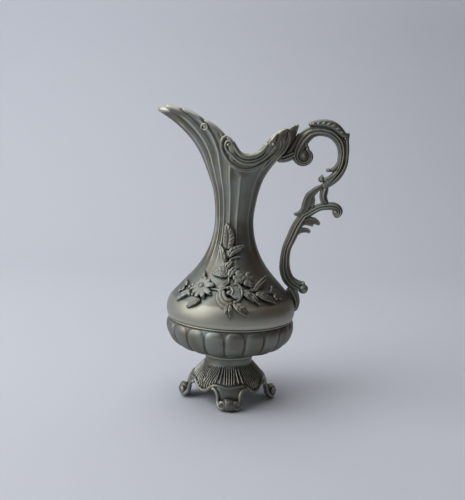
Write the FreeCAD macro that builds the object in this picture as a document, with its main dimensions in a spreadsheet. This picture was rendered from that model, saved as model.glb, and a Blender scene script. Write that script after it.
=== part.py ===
import FreeCAD, Part
import math
import os

import Sketcher

# Cast pewter ewer whose whole upper half is a lid, hinged to the gadrooned bowl at the back.
# Millimetres. The origin is on the floor under the axis, +Z is up, the spout points to -X,
# the handle to +X and the show face to -Y.

Vector = FreeCAD.Vector

LOBES = 20
LEGS = 4
LOBE_TURN = -4.5
BOWL_TURN = 71.6
# turn below the bowl's widest level and share of the gadroons' full depth there
GADROONS = ((-15.0, 0.25), (-4.0, 0.8), (20.0, 1.0), (45.0, 1.0), (71.6, 0.9))
# foot bell: share of the flare and of the fall, where it bends and where it is fullest
BELL = ((0.52, 0.44), (0.95, 0.80))

SIZES = (
    # castings
    ("wall", 1.8),
    ("bowl_wall", 2.2),
    ("foot_wall", 2.0),
    # foot
    ("foot_height", 25.2),
    ("stem_radius", 13.3),
    ("stem_length", 4.7),
    ("skirt_radius", 21.0),
    ("skirt_height", 10.6),
    ("foot_web", 3.0),
    ("leg_width", 11.0),
    ("roll_radius", 3.8),
    ("roll_reach", 23.7),
    ("pad_cut", 0.2),
    ("pendant_width", 14.0),
    ("pendant_drop", 3.2),
    # bowl
    ("bowl_height", 21.7),
    ("bowl_radius", 35.5),
    ("bowl_curve", 12.44),
    ("bowl_drop", 4.1),
    ("bowl_floor", 2.6),
    ("floor_radius", 9.5),
    ("rim_width", 2.2),
    ("ring_radius", 14.2),
    ("ring_height", 1.6),
    ("ring_step", 1.4),
    ("gadroon_depth", 0.9),
    # screw that holds the foot to the bowl
    ("screw_radius", 2.0),
    ("screw_clearance", 0.2),
    ("thread_clearance", 0.05),
    ("head_radius", 3.6),
    ("head_height", 2.4),
    ("washer_radius", 4.5),
    ("washer_thickness", 0.8),
    ("nut_radius", 4.0),
    ("nut_height", 3.2),
    ("screw_end", 0.8),
    # lid casting
    ("seam_gap", 0.3),
    ("shoulder_rise", 4.1),
    ("shoulder_radius", 35.6),
    ("shoulder_curve", 11.0),
    ("neck_rise", 54.3),
    ("neck_radius", 10.5),
    ("flank_slope", 40.7),
    ("dip_rise", 88.8),
    ("mouth_half_width", 14.5),
    ("spout_rise", 112.4),
    ("spout_reach", 42.0),
    ("lip_rise", 105.8),
    ("lip_reach", 33.0),
    ("flange_thickness", 1.3),
    ("locating_depth", 1.3),
    ("locating_wall", 1.4),
    ("locating_clearance", 0.35),
    # hinge
    ("knuckle_radius", 1.8),
    ("knuckle_length", 6.0),
    ("knuckle_gap", 0.25),
    ("hinge_clearance", 0.5),
    ("pin_radius", 0.9),
    ("pin_clearance", 0.05),
    ("pin_head_radius", 1.4),
    ("pin_head_length", 0.6),
    ("leaf_height", 6.5),
    ("leaf_thickness", 1.6),
    # handle
    ("handle_depth", 5.8),
    ("handle_edge", 3.8),
    ("volute_radius", 4.7),
    ("volute_gap", 2.8),
    ("volute_drop", 16.5),
    ("tail_rise", 7.4),
    ("tail_inset", 2.6),
    ("scroll_radius", 3.3),
    ("knob_radius", 2.9),
    # applied flowers
    ("leaf_rise", 1.5),
    ("leaf_root", 1.2),
    ("petal_rise", 2.0),
)

doc = FreeCAD.newDocument("ewer")
sheet = doc.addObject("Spreadsheet::Sheet", "Sizes")
for row, (name, number) in enumerate(SIZES, start=1):
    sheet.set(f"A{row}", name)
    sheet.set(f"B{row}", str(number))
    sheet.setAlias(f"B{row}", name)
doc.recompute()

# Heights and places that follow from the sizes
SEAM = "(Sizes.foot_height + Sizes.bowl_height)"
LID = f"({SEAM} + Sizes.seam_gap)"
SHOULDER = f"({LID} + Sizes.shoulder_rise)"
NECK = f"({LID} + Sizes.neck_rise)"
BOWL_AXIS = "(Sizes.bowl_radius - Sizes.bowl_curve)"
BOWL_MIDDLE = f"({SEAM} - Sizes.bowl_drop)"
RIM_INSIDE = (f"({BOWL_AXIS} + sqrt((Sizes.bowl_curve - Sizes.bowl_wall)^2"
              " - Sizes.bowl_drop^2))")
HINGE_REACH = f"({RIM_INSIDE} + Sizes.rim_width + Sizes.knuckle_radius + Sizes.hinge_clearance)"
HINGE_LEVEL = f"({SEAM} + Sizes.seam_gap / 2)"
HOLE = "(Sizes.screw_radius + Sizes.screw_clearance)"


def value(expression):
    """Number that an expression in the sizes gives."""
    return float(sheet.evalExpression(expression))


def bind(item, links):
    """Ties properties of an object to expressions in the sizes."""
    for place, expression in links.items():
        item.setExpression(place, expression)
    return item


def add(kind, name, **settings):
    """New document object with plain properties set."""
    item = doc.addObject(kind, name)
    for key, setting in settings.items():
        setattr(item, key, setting)
    return item


def cut(name, base, tool):
    return add("Part::Cut", name, Base=base, Tool=tool)


def fuse(name, shapes):
    return add("Part::MultiFuse", name, Shapes=shapes)


def cylinder(name, radius, height, bottom):
    """Upright cylinder on the axis."""
    links = {"Radius": radius, "Height": height, "Placement.Base.z": bottom}
    return bind(add("Part::Cylinder", name), links)


def origin_plane(body, role):
    for feature in body.Origin.OriginFeatures:
        if feature.Role == role:
            return feature
    raise ValueError(role)


def arc_middle(start, end, radius, side):
    """Point half way along the arc of a radius that bulges to the left (+1) or right (-1)."""
    chord = end - start
    half = chord.Length / 2
    sagitta = radius - math.sqrt(max(radius * radius - half * half, 0.0))
    across = Vector(-chord.y, chord.x, 0).normalize()
    return start + chord / 2 + across * (side * sagitta)


def draw(sketch, corners, arcs=None):
    """Closed outline through corners given as expressions; arcs maps an edge to (radius, side)."""
    arcs = arcs or {}
    places = [Vector(value(x), value(y), 0) for x, y in corners]
    count = len(places)
    ends = []
    for index, start in enumerate(places):
        end = places[(index + 1) % count]
        if index in arcs:
            radius, side = arcs[index]
            edge = Part.Arc(start, arc_middle(start, end, value(radius), side), end)
        else:
            edge = Part.LineSegment(start, end)
        sketch.addGeometry(edge, False)
        first = sketch.getPoint(index, 1)
        ends.append((1, 2) if first.isEqual(start, 1e-6) else (2, 1))
    for index in range(count):
        following = (index + 1) % count
        sketch.addConstraint(Sketcher.Constraint(
            "Coincident", index, ends[index][1], following, ends[following][0]))
    for index, (x, y) in enumerate(corners):
        spot = ends[index][0]
        for kind, axis, expression in (("DistanceX", -2, x), ("DistanceY", -1, y)):
            if expression == "0":
                sketch.addConstraint(Sketcher.Constraint("PointOnObject", index, spot, axis))
                continue
            number = sketch.addConstraint(
                Sketcher.Constraint(kind, index, spot, value(expression)))
            sketch.setExpression(f"Constraints[{number}]", expression)
    for index, (radius, _) in arcs.items():
        number = sketch.addConstraint(Sketcher.Constraint("Radius", index, value(radius)))
        sketch.setExpression(f"Constraints[{number}]", radius)
    return sketch


def body_sketch(body, name, role, corners, arcs=None):
    sketch = body.newObject("Sketcher::SketchObject", name)
    sketch.AttachmentSupport = [(origin_plane(body, role), "")]
    sketch.MapMode = "FlatFace"
    return draw(sketch, corners, arcs)


def revolved_body(name, corners, arcs=None):
    """Body turned about the vertical axis from a profile of radius and height."""
    body = doc.addObject("PartDesign::Body", name)
    sketch = body_sketch(body, name + "_profile", "XZ_Plane", corners, arcs)
    turned = body.newObject("PartDesign::Revolution", name + "_turned")
    turned.Profile = sketch
    turned.ReferenceAxis = (sketch, ["V_Axis"])
    turned.Angle = 360.0
    return body


# Foot: hollow bell on four scrolled legs, with four pendants between them
def make_foot():
    stem_bottom = "(Sizes.foot_height - Sizes.stem_length)"
    fall = f"({stem_bottom} - Sizes.skirt_height)"
    flare = "(Sizes.skirt_radius - Sizes.stem_radius)"
    web = "(Sizes.foot_height - Sizes.foot_web)"
    (waist_out, waist_fall), (bell_out, bell_fall) = BELL
    profile = [
        (HOLE, "Sizes.foot_height"),
        ("Sizes.stem_radius", "Sizes.foot_height"),
        ("Sizes.stem_radius", stem_bottom),
        (f"Sizes.stem_radius + {flare} * {waist_out}", f"{stem_bottom} - {fall} * {waist_fall}"),
        (f"Sizes.stem_radius + {flare} * {bell_out}", f"{stem_bottom} - {fall} * {bell_fall}"),
        ("Sizes.skirt_radius", "Sizes.skirt_height"),
        ("Sizes.skirt_radius - Sizes.foot_wall", "Sizes.skirt_height"),
        (f"Sizes.stem_radius + {flare} * {bell_out} - Sizes.foot_wall * 1.2",
         f"{stem_bottom} - {fall} * {bell_fall}"),
        ("Sizes.stem_radius - Sizes.foot_wall", f"{stem_bottom} - Sizes.foot_wall * 0.8"),
        ("Sizes.stem_radius - Sizes.foot_wall", web),
        (HOLE, web),
    ]
    bends = {
        1: ("Sizes.stem_length * 4", -1),
        2: (f"{fall} * 1.6", -1),
        3: (f"{fall} * 0.8", 1),
    }
    body = revolved_body("foot_bell", profile, bends)
    roll_level = "(Sizes.roll_radius - Sizes.pad_cut)"
    flat = f"sqrt(Sizes.roll_radius^2 - {roll_level}^2)"
    leg = [
        ("Sizes.skirt_radius - Sizes.foot_wall * 0.8", "Sizes.skirt_height + Sizes.foot_wall"),
        ("Sizes.skirt_radius - 0.3", "Sizes.skirt_height + Sizes.foot_wall * 0.7"),
        ("Sizes.roll_reach", f"{roll_level} + Sizes.roll_radius"),
        (f"Sizes.roll_reach + {flat}", "0"),
        (f"Sizes.roll_reach - {flat}", "0"),
        ("Sizes.roll_reach - Sizes.roll_radius", roll_level),
        ("Sizes.skirt_radius - Sizes.foot_wall", "Sizes.skirt_height"),
    ]
    turns = {
        2: ("Sizes.roll_radius", 1),
        4: ("Sizes.roll_radius", 1),
    }
    sketch = body_sketch(body, "leg_outline", "XZ_Plane", leg, turns)
    pad = body.newObject("PartDesign::Pad", "leg")
    pad.Profile = sketch
    pad.SideType = "Symmetric"
    pad.setExpression("Length", "Sizes.leg_width")
    legs = body.newObject("PartDesign::PolarPattern", "legs")
    legs.Originals = [pad]
    legs.Axis = (sketch, ["V_Axis"])
    legs.Angle = 360.0
    legs.Occurrences = LEGS
    body.Tip = legs
    return fuse("foot", [body] + make_pendants())


def make_pendants():
    """Lens-shaped lobes that hang from the skirt half way between the legs."""
    outside = cylinder("pendant_outside", "Sizes.skirt_radius",
                       "Sizes.skirt_height + Sizes.pendant_drop", "0")
    inside = cylinder("pendant_inside", "Sizes.skirt_radius - Sizes.foot_wall",
                      "Sizes.skirt_height + Sizes.pendant_drop", "0")
    band = cut("pendant_band", outside, inside)
    top = "(Sizes.skirt_height + Sizes.foot_wall * 0.3)"
    sag = f"(Sizes.pendant_drop + {top} - Sizes.skirt_height)"
    radius = f"((Sizes.pendant_width^2 / 4 + {sag}^2) / (2 * {sag}))"
    pendants = []
    for index in range(LEGS):
        turn = (index + 0.5) * 360.0 / LEGS
        sketch = doc.addObject("Sketcher::SketchObject", f"pendant_outline_{index}")
        sketch.Placement = FreeCAD.Placement(
            Vector(0, 0, 0),
            FreeCAD.Rotation(Vector(0, 0, 1), turn).multiply(
                FreeCAD.Rotation(Vector(1, 0, 0), 90)))
        draw(sketch, [("-Sizes.pendant_width / 2", top), ("Sizes.pendant_width / 2", top)],
             {0: (radius, -1)})
        lens = add("Part::Extrusion", f"pendant_lens_{index}", Base=sketch, Solid=True,
                   DirMode="Normal")
        bind(lens, {"LengthFwd": "Sizes.skirt_radius * 1.2"})
        pendants.append(add("Part::Common", f"pendant_{index}", Base=band, Tool=lens))
    return pendants


# Bowl: shallow, its side swelling into gadroons that die out at the rim and underneath
def lobed_ring(name, radius, height, depth):
    """Level ring of convex arcs, with notches of a depth between them."""
    ring = doc.addObject("Part::Feature", name)
    level = value(height)

    def spot(reach, step):
        turn = math.radians(LOBE_TURN - 90.0 + step * 360.0 / LOBES)
        return Vector(reach * math.cos(turn), reach * math.sin(turn), level)

    outer = value(radius)
    notch = outer - value(depth)
    arcs = []
    for index in range(LOBES):
        arcs.append(Part.Arc(spot(notch, index), spot(outer, index + 0.5),
                             spot(notch, index + 1)).toShape())
    ring.Shape = Part.Wire(arcs)
    return ring


def on_bowl(turn):
    """Radius and height on the bowl's side, by the turn below its widest level."""
    side = math.cos(math.radians(turn))
    fall = math.sin(math.radians(turn))
    return (f"({BOWL_AXIS} + Sizes.bowl_curve * {side:.4f})",
            f"({BOWL_MIDDLE} - Sizes.bowl_curve * {fall:.4f})")


def make_bowl():
    inside = "(Sizes.bowl_curve - Sizes.bowl_wall)"
    side = math.cos(math.radians(BOWL_TURN))
    under = math.sin(math.radians(BOWL_TURN))
    floor = "(Sizes.foot_height + Sizes.bowl_floor)"
    ring_top = "(Sizes.foot_height + Sizes.ring_height)"
    rings = []
    for index, (turn, share) in enumerate(GADROONS):
        radius, height = on_bowl(turn)
        rings.append(lobed_ring(f"gadroon_ring_{index}", radius, height,
                                f"Sizes.gadroon_depth * {share}"))
    rings.append(lobed_ring("gadroon_ring_end", "Sizes.ring_radius + Sizes.ring_step", ring_top,
                            "Sizes.gadroon_depth * 0.2"))
    swell = add("Part::Loft", "gadroons", Sections=rings, Solid=True, Ruled=False)
    seat = cylinder("bowl_seat", "Sizes.ring_radius", "Sizes.ring_height + Sizes.bowl_floor",
                    "Sizes.foot_height")
    rim = cylinder("bowl_rim", f"{RIM_INSIDE} + Sizes.rim_width",
                   "Sizes.bowl_drop + Sizes.rim_width", f"{SEAM} - Sizes.bowl_drop"
                   " - Sizes.rim_width")
    hollow = revolved_body("bowl_hollow", [
        ("0", SEAM),
        ("0", floor),
        ("Sizes.floor_radius", floor),
        (f"{BOWL_AXIS} + {inside} * {side:.4f}", f"{BOWL_MIDDLE} - {inside} * {under:.4f}"),
        (RIM_INSIDE, SEAM),
    ], {3: (inside, -1)})
    hole = cylinder("bowl_hole", HOLE, "Sizes.bowl_floor", "Sizes.foot_height")
    solid = fuse("bowl_solid", [swell, seat, rim])
    return cut("lower_bowl", cut("bowl_shell", solid, hollow), hole), solid


# Screw, washer and nut that clamp the bowl to the foot
def make_fastening():
    web = "(Sizes.foot_height - Sizes.foot_web)"
    floor = "(Sizes.foot_height + Sizes.bowl_floor)"
    seat = f"({floor} + Sizes.washer_thickness)"
    tip = f"({seat} + Sizes.nut_height + Sizes.screw_end)"
    head = f"({web} - Sizes.head_height)"
    screw = revolved_body("foot_screw", [
        ("0", tip),
        ("Sizes.screw_radius", tip),
        ("Sizes.screw_radius", web),
        ("Sizes.head_radius", web),
        ("Sizes.head_radius * 0.8", head),
        ("0", head),
    ])
    washer = revolved_body("foot_washer", [
        (HOLE, seat),
        ("Sizes.washer_radius", seat),
        ("Sizes.washer_radius", floor),
        (HOLE, floor),
    ])
    hexagon = bind(add("Part::Prism", "nut_hexagon", Polygon=6), {
        "Circumradius": "Sizes.nut_radius",
        "Height": "Sizes.nut_height",
        "Placement.Base.z": seat,
    })
    thread = cylinder("nut_thread", "Sizes.screw_radius + Sizes.thread_clearance",
                      "Sizes.nut_height", seat)
    return [screw, washer, cut("foot_nut", hexagon, thread)]


# Lid: a turned shoulder that runs up into the neck, then a mouth that opens into spout and lip
CURVE_OUT = "(Sizes.shoulder_radius - Sizes.shoulder_curve)"
FLANK = "Sizes.flank_slope"
NECK_CURVE = (f"((({NECK} - {SHOULDER}) * sin({FLANK}) + (Sizes.neck_radius - {CURVE_OUT})"
              f" * cos({FLANK}) - Sizes.shoulder_curve) / (1 - cos({FLANK})))")
CURVE_IN = f"(Sizes.neck_radius + {NECK_CURVE})"


def shoulder_line(inset):
    """Side of the shoulder from bulge to neck: two arcs joined by a straight flank."""
    swell = f"(Sizes.shoulder_curve - {inset})"
    sweep = f"({NECK_CURVE} + {inset})"
    return [
        (f"{CURVE_OUT} + {swell} * cos({FLANK})", f"{SHOULDER} + {swell} * sin({FLANK})"),
        (f"{CURVE_IN} - {sweep} * cos({FLANK})", f"{NECK} - {sweep} * sin({FLANK})"),
        (f"Sizes.neck_radius - {inset}", NECK),
    ], swell, sweep


def make_shoulder():
    """Turned lower part of the lid, hollow and solid."""
    outer, swell, sweep = shoulder_line("0")
    inner, inner_swell, inner_sweep = shoulder_line("Sizes.wall")
    foot = f"({CURVE_OUT} + sqrt({swell}^2 - Sizes.shoulder_rise^2))"
    flange = f"({LID} + Sizes.flange_thickness)"
    fall = "(Sizes.shoulder_rise - Sizes.flange_thickness)"
    inside = f"({CURVE_OUT} + sqrt({inner_swell}^2 - {fall}^2))"
    ring_outside = f"({RIM_INSIDE} - Sizes.locating_clearance)"
    ring_inside = f"({ring_outside} - Sizes.locating_wall)"
    ring_bottom = f"({LID} - Sizes.locating_depth)"
    shell = [(foot, LID)] + outer + inner[::-1] + [
        (inside, flange),
        (ring_inside, flange),
        (ring_inside, ring_bottom),
        (ring_outside, ring_bottom),
        (ring_outside, LID),
    ]
    bends = {0: (swell, -1), 2: (sweep, 1), 4: (inner_sweep, -1), 6: (inner_swell, 1)}
    hollow = revolved_body("shoulder_shell", shell, bends)
    blank = [("0", LID), (foot, LID)] + outer + [("0", NECK)]
    solid = revolved_body("shoulder_solid", blank, {1: (swell, -1), 3: (sweep, 1)})
    return hollow, solid


# rise from neck to rim, then how far spout, lip and sides have opened there
MOUTH = (
    (0.13, 0.013, 0.036, 0.125),
    (0.27, 0.054, 0.107, 0.425),
    (0.39, 0.130, 0.213, 0.72),
    (0.51, 0.219, 0.400, 0.92),
    (0.63, 0.330, 0.627, 1.02),
    (0.75, 0.492, 0.840, 1.08),
    (0.85, 0.692, 0.982, 1.12),
    (0.94, 0.952, 1.062, 1.16),
    (1.02, 1.254, 1.110, 1.20),
)


def mouth_sections():
    """Height, spout side, lip side and half width of each section, as expressions."""
    sections = []
    for rise, spout, lip, half in MOUTH:
        sections.append((
            f"{NECK} + (Sizes.spout_rise - Sizes.neck_rise) * {rise}",
            f"(Sizes.neck_radius + (Sizes.spout_reach - Sizes.neck_radius) * {spout})",
            f"(Sizes.neck_radius + (Sizes.lip_reach - Sizes.neck_radius) * {lip})",
            f"(Sizes.neck_radius + (Sizes.mouth_half_width - Sizes.neck_radius) * {half})"))
    return sections


def oval(name, level, spout, lip, half):
    """Level oval with its own reach to the spout and to the lip."""
    return bind(add("Part::Ellipse", name), {
        "MajorRadius": f"({spout} + {lip}) / 2",
        "MinorRadius": half,
        "Placement.Base.x": f"({lip} - {spout}) / 2",
        "Placement.Base.z": level,
    })


def slant(heights, reaches, index):
    """Factor from a wall's thickness to its width across a level section."""
    low = max(index - 1, 0)
    high = min(index + 1, len(heights) - 1)
    slope = (reaches[high] - reaches[low]) / (heights[high] - heights[low])
    return math.sqrt(1 + slope * slope)


def make_mouth():
    """Mouth above the neck, as the solids of its outside and of its inside."""
    sections = mouth_sections()
    heights = [value(section[0]) for section in sections]
    reaches = [[value(section[column]) for section in sections] for column in (1, 2, 3)]
    rings = {"outside": [], "inside": []}
    for side, radius in (("outside", "Sizes.neck_radius"),
                         ("inside", "Sizes.neck_radius - Sizes.wall")):
        rings[side].append(bind(add("Part::Circle", f"neck_{side}"),
                                {"Radius": radius, "Placement.Base.z": NECK}))
    for index, section in enumerate(sections):
        rings["outside"].append(oval(f"outer_{index}", *section))
        shrunk = [f"({reach} - Sizes.wall * {slant(heights, column, index):.4f})"
                  for reach, column in zip(section[1:], reaches)]
        rings["inside"].append(oval(f"inner_{index}", section[0], *shrunk))
    return [add("Part::Loft", f"mouth_{side}", Sections=rings[side], Solid=True, Ruled=False)
            for side in ("outside", "inside")]


def make_lid():
    shoulder, solid = make_shoulder()
    outside, inside = make_mouth()
    mouth = cut("mouth_shell", outside, inside)
    whole = fuse("lid_blank", [shoulder, mouth])
    return cut("upper_body", whole, rim_tool()), solid, outside


# Rim line from the spout's tip to the lip's tip: share of the run between them, share of the
# climb from the dip to that tip, and how far the edge up to the next point bulges
SPOUT_RIM = (
    (0.0, 0.975, 0.23),
    (0.043, 0.970, 0.20),
    (0.152, 0.932, 0.18),
    (0.304, 0.750, 0.14),
    (0.467, 0.535, 0.22),
    (0.553, 0.390, -0.417),
)
LIP_RIM = (
    (0.755, 0.490, 0.235),
    (0.805, 0.664, 0.186),
    (0.880, 0.828, 0.16),
    (0.952, 0.933, 0.13),
    (1.0, 1.0, 0.0),
)


def rim_tool():
    """Prism above the scalloped rim line, seen from the side."""
    tip = f"({LID} + Sizes.spout_rise)"
    lip = f"({LID} + Sizes.lip_rise)"
    dip = f"({LID} + Sizes.dip_rise)"
    clear = "(Sizes.spout_reach / 2)"
    corners = []
    for rim, end in ((SPOUT_RIM, tip), (LIP_RIM, lip)):
        for along, climb, _ in rim:
            corners.append((
                f"((Sizes.spout_reach + Sizes.lip_reach) * {along} - Sizes.spout_reach)",
                f"({dip} + ({end} - {dip}) * {climb})"))
    scallops = {}
    for index, (_, _, bulge) in enumerate(SPOUT_RIM + LIP_RIM[:-1]):
        (x, z), (next_x, next_z) = corners[index], corners[index + 1]
        chord = f"sqrt(({next_x} - {x})^2 + ({next_z} - {z})^2)"
        share = abs(bulge)
        scallops[index] = (f"{chord} * {1 / (8 * share) + share / 2:.4f}", math.copysign(1, bulge))
    corners += [
        ("Sizes.lip_reach", f"{dip} - {clear}"),
        (f"Sizes.lip_reach + {clear}", f"{dip} - {clear}"),
        (f"Sizes.lip_reach + {clear}", f"{tip} + {clear}"),
        (f"-Sizes.spout_reach - {clear}", f"{tip} + {clear}"),
        (f"-Sizes.spout_reach - {clear}", f"{dip} - {clear}"),
        ("-Sizes.spout_reach", f"{dip} - {clear}"),
    ]
    sketch = doc.addObject("Sketcher::SketchObject", "rim_line")
    sketch.Placement.Rotation = FreeCAD.Rotation(Vector(1, 0, 0), 90)
    draw(sketch, corners, scallops)
    prism = add("Part::Extrusion", "rim_cutter", Base=sketch, Solid=True, Symmetric=True,
                DirMode="Normal")
    return bind(prism, {"LengthFwd": "Sizes.mouth_half_width * 4"})


# Hinge at the back of the seam
def hinge_cylinder(name, radius, length, start):
    """Cylinder along the hinge axis."""
    rod = add("Part::Cylinder", name)
    rod.Placement.Rotation = FreeCAD.Rotation(Vector(0, 1, 0), 90)
    return bind(rod, {
        "Radius": radius,
        "Height": length,
        "Placement.Base.x": start,
        "Placement.Base.y": HINGE_REACH,
        "Placement.Base.z": HINGE_LEVEL,
    })


def leaf_plate(name, width, bottom, height):
    """Plate of a hinge leaf, from inside the casting's wall out over the axis."""
    depth = "(Sizes.leaf_thickness * 3)"
    return bind(add("Part::Box", name), {
        "Length": width,
        "Width": depth,
        "Height": height,
        "Placement.Base.x": f"-({width}) / 2",
        "Placement.Base.y": f"{HINGE_REACH} + Sizes.leaf_thickness / 2 - {depth}",
        "Placement.Base.z": bottom,
    })


def make_hinge(shoulder_solid, bowl_solid):
    middle = "Sizes.knuckle_length"
    run = "(Sizes.knuckle_length * 1.5 + Sizes.knuckle_gap)"
    bore = "Sizes.pin_radius + Sizes.pin_clearance"
    upper_knuckle = hinge_cylinder("upper_knuckle", "Sizes.knuckle_radius", middle,
                                   f"-{middle} / 2")
    upper_plate = leaf_plate("upper_plate", middle, LID, "Sizes.leaf_height")
    upper_bore = hinge_cylinder("upper_bore", bore, f"{run} * 2", f"-{run}")
    upper = fuse("upper_leaf_blank", [upper_knuckle, upper_plate])
    upper = cut("upper_leaf_seated", upper, shoulder_solid)
    upper = cut("hinge_leaf_upper", upper, upper_bore)
    lower_knuckles = hinge_cylinder("lower_knuckles", "Sizes.knuckle_radius", f"{run} * 2",
                                    f"-{run}")
    lower_plate = leaf_plate("lower_plate", f"{run} * 2",
                             f"{SEAM} - Sizes.leaf_height", "Sizes.leaf_height")
    slot = hinge_cylinder("knuckle_slot", "Sizes.knuckle_radius + Sizes.hinge_clearance",
                          f"{middle} + Sizes.knuckle_gap * 2",
                          f"-{middle} / 2 - Sizes.knuckle_gap")
    lower_bore = hinge_cylinder("lower_bore", "Sizes.pin_radius", f"{run} * 2", f"-{run}")
    lower = fuse("lower_leaf_blank", [lower_knuckles, lower_plate])
    lower = cut("lower_leaf_seated", lower, bowl_solid)
    lower = cut("lower_leaf_slotted", lower, slot)
    lower = cut("hinge_leaf_lower", lower, lower_bore)
    shank = hinge_cylinder("pin_shank", "Sizes.pin_radius", f"{run} * 2", f"-{run}")
    heads = [hinge_cylinder("pin_head_near", "Sizes.pin_head_radius", "Sizes.pin_head_length",
                            f"-{run} - Sizes.pin_head_length"),
             hinge_cylinder("pin_head_far", "Sizes.pin_head_radius", "Sizes.pin_head_length",
                            run)]
    return [upper, lower, fuse("hinge_pin", [shank] + heads)]


# Handle: scrolled bands drawn in the plane of the spout, from the lip down to the shoulder, each
# with a raised rib along its middle. They are drawn for this height from the foot of the stem to
# the volute's eye, and stretch with it.
RIB_SHARE = 0.6
DRAWN_RISE = 77.8


def size(name):
    return value("Sizes." + name)


def stroke(points, halves, share):
    """Flat face along a smooth line through points of the handle's plane."""
    spots = [Vector(x, 0, z) for x, z in points]
    line = Part.BSplineCurve()
    line.interpolate(spots)
    sides = [[], []]
    for spot, half in zip(spots, halves):
        along = line.tangent(line.parameter(spot))[0]
        across = along.cross(Vector(0, 1, 0)) * (half * share)
        sides[0].append(spot + across)
        sides[1].append(spot - across)
    edges = []
    for side in sides:
        curve = Part.BSplineCurve()
        curve.interpolate(side)
        edges.append(curve.toShape())
    edges.append(Part.makeLine(sides[0][0], sides[1][0]))
    edges.append(Part.makeLine(sides[0][-1], sides[1][-1]))
    return Part.Face(Part.Wire(Part.__sortEdges__(edges)))


def disc(centre, radius, share):
    """Round scroll end."""
    x, z = centre
    circle = Part.makeCircle(radius * share, Vector(x, 0, z), Vector(0, 1, 0))
    return Part.Face(Part.Wire(circle))


def slab(faces, depth):
    """Solid of joined flat faces, half its depth to each side of the handle's plane."""
    joined = faces[0].multiFuse(faces[1:]).removeSplitter()
    joined.translate(Vector(0, -depth / 2, 0))
    return joined.extrude(Vector(0, depth, 0))


def make_handle(shoulder_solid, mouth_solid):
    eye = (size("lip_reach") + size("volute_gap"),
           value(LID) + size("lip_rise") - size("volute_drop"))
    root = (size("shoulder_radius") - size("tail_inset"), value(SHOULDER) + size("tail_rise"))

    stretch = (eye[1] - root[1]) / DRAWN_RISE

    def above(*points):
        return [(eye[0] + x, eye[1] + z * stretch) for x, z in points]

    def below(*points):
        return [(root[0] + x, root[1] + z * stretch) for x, z in points]

    bands = [
        # upper scroll from the volute over the top and down to the waist
        (above((-2.8, -0.5), (-2.2, 4.3), (-0.2, 9.0), (2.8, 12.3), (8.8, 14.0), (16.0, 11.4),
               (20.6, 6.0), (21.7, 2.0), (21.5, -1.6), (20.1, -5.2), (17.6, -9.2),
               (14.2, -12.3), (10.9, -14.3)),
         (2.9, 3.0, 2.9, 2.7, 2.5, 2.4, 2.5, 2.7, 2.7, 2.9, 3.0, 2.8, 2.3)),
        # leaf that lies over the top of the scroll
        (above((2.2, 15.0), (5.2, 16.9), (9.0, 18.0), (13.2, 17.6), (17.4, 15.0), (23.2, 11.6)),
         (0.8, 1.6, 2.2, 2.5, 2.3, 1.2)),
        # curled leaves inside the scroll's lower end
        (above((17.0, -6.8), (14.6, -7.6), (13.2, -6.9)), (1.5, 1.0, 0.6)),
        (above((14.0, -11.6), (11.2, -10.9), (9.7, -11.3)), (1.9, 1.5, 1.1)),
        # left branch below the waist and its tip
        (above((11.4, -14.6), (7.6, -17.0), (4.6, -20.0), (3.0, -24.2), (2.2, -29.0)),
         (1.8, 2.2, 2.5, 2.7, 2.7)),
        (above((1.6, -29.4), (-1.6, -30.6), (-3.8, -31.2)), (1.8, 1.2, 0.8)),
        # right branch
        (above((12.4, -14.2), (12.4, -19.5), (12.0, -25.5)), (1.9, 1.7, 2.2)),
        # lower scroll
        (above((0.6, -31.4), (3.8, -28.6), (7.6, -26.6), (11.6, -25.6), (15.6, -25.6),
               (19.0, -26.6)),
         (2.6, 2.5, 2.5, 2.5, 2.4, 2.2)),
        # two sprigs on the outside of the stem
        (above((0.5, -34.8), (5.2, -34.4), (8.2, -34.6), (10.4, -36.2)),
         (1.7, 1.6, 1.6, 1.1)),
        (above((-1.5, -41.4), (2.4, -40.4), (4.6, -40.6), (6.0, -41.6)),
         (1.5, 1.3, 1.2, 0.7)),
        # stem down to the shoulder, turning outwards at its foot
        (above((2.4, -29.0), (-0.6, -35.0), (-3.0, -41.0))
         + below((-2.4, 31.3), (-4.5, 20.8), (-4.2, 15.8), (-3.1, 11.5), (-0.6, 7.6), (3.0, 5.4),
                 (7.0, 4.9)),
         (2.7, 2.6, 2.9, 2.7, 2.7, 2.8, 3.0, 3.1, 2.7, 2.5)),
        # tail that lies down the shoulder
        (below((0.2, 6.0), (2.6, 1.6), (3.4, -2.2), (3.0, -5.2), (1.9, -7.8)),
         (2.4, 2.2, 2.0, 1.6, 0.8)),
        # bracket under the lip
        (above((-13.6, -1.8), (-9.5, -2.6), (-3.5, -0.8)), (1.5, 1.9, 1.8)),
    ]
    ends = [
        (eye, size("volute_radius")),
        (above((20.0, -28.2))[0], size("scroll_radius")),
        (below((7.2, 5.1))[0], size("knob_radius")),
    ]
    layers = []
    for share, depth in ((1.0, size("handle_edge")), (RIB_SHARE, size("handle_depth"))):
        faces = [stroke(points, halves, share) for points, halves in bands]
        faces += [disc(centre, radius, share) for centre, radius in ends]
        layers.append(slab(faces, depth))
    whole = layers[0].fuse(layers[1])
    handle = doc.addObject("Part::Feature", "handle")
    handle.Shape = biggest(whole.cut(shoulder_solid.Shape).cut(mouth_solid.Shape))
    return handle


def biggest(shape):
    """Largest solid of a cut, which leaves crumbs behind inside the wall."""
    return max(shape.Solids, key=lambda solid: solid.Volume)


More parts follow.
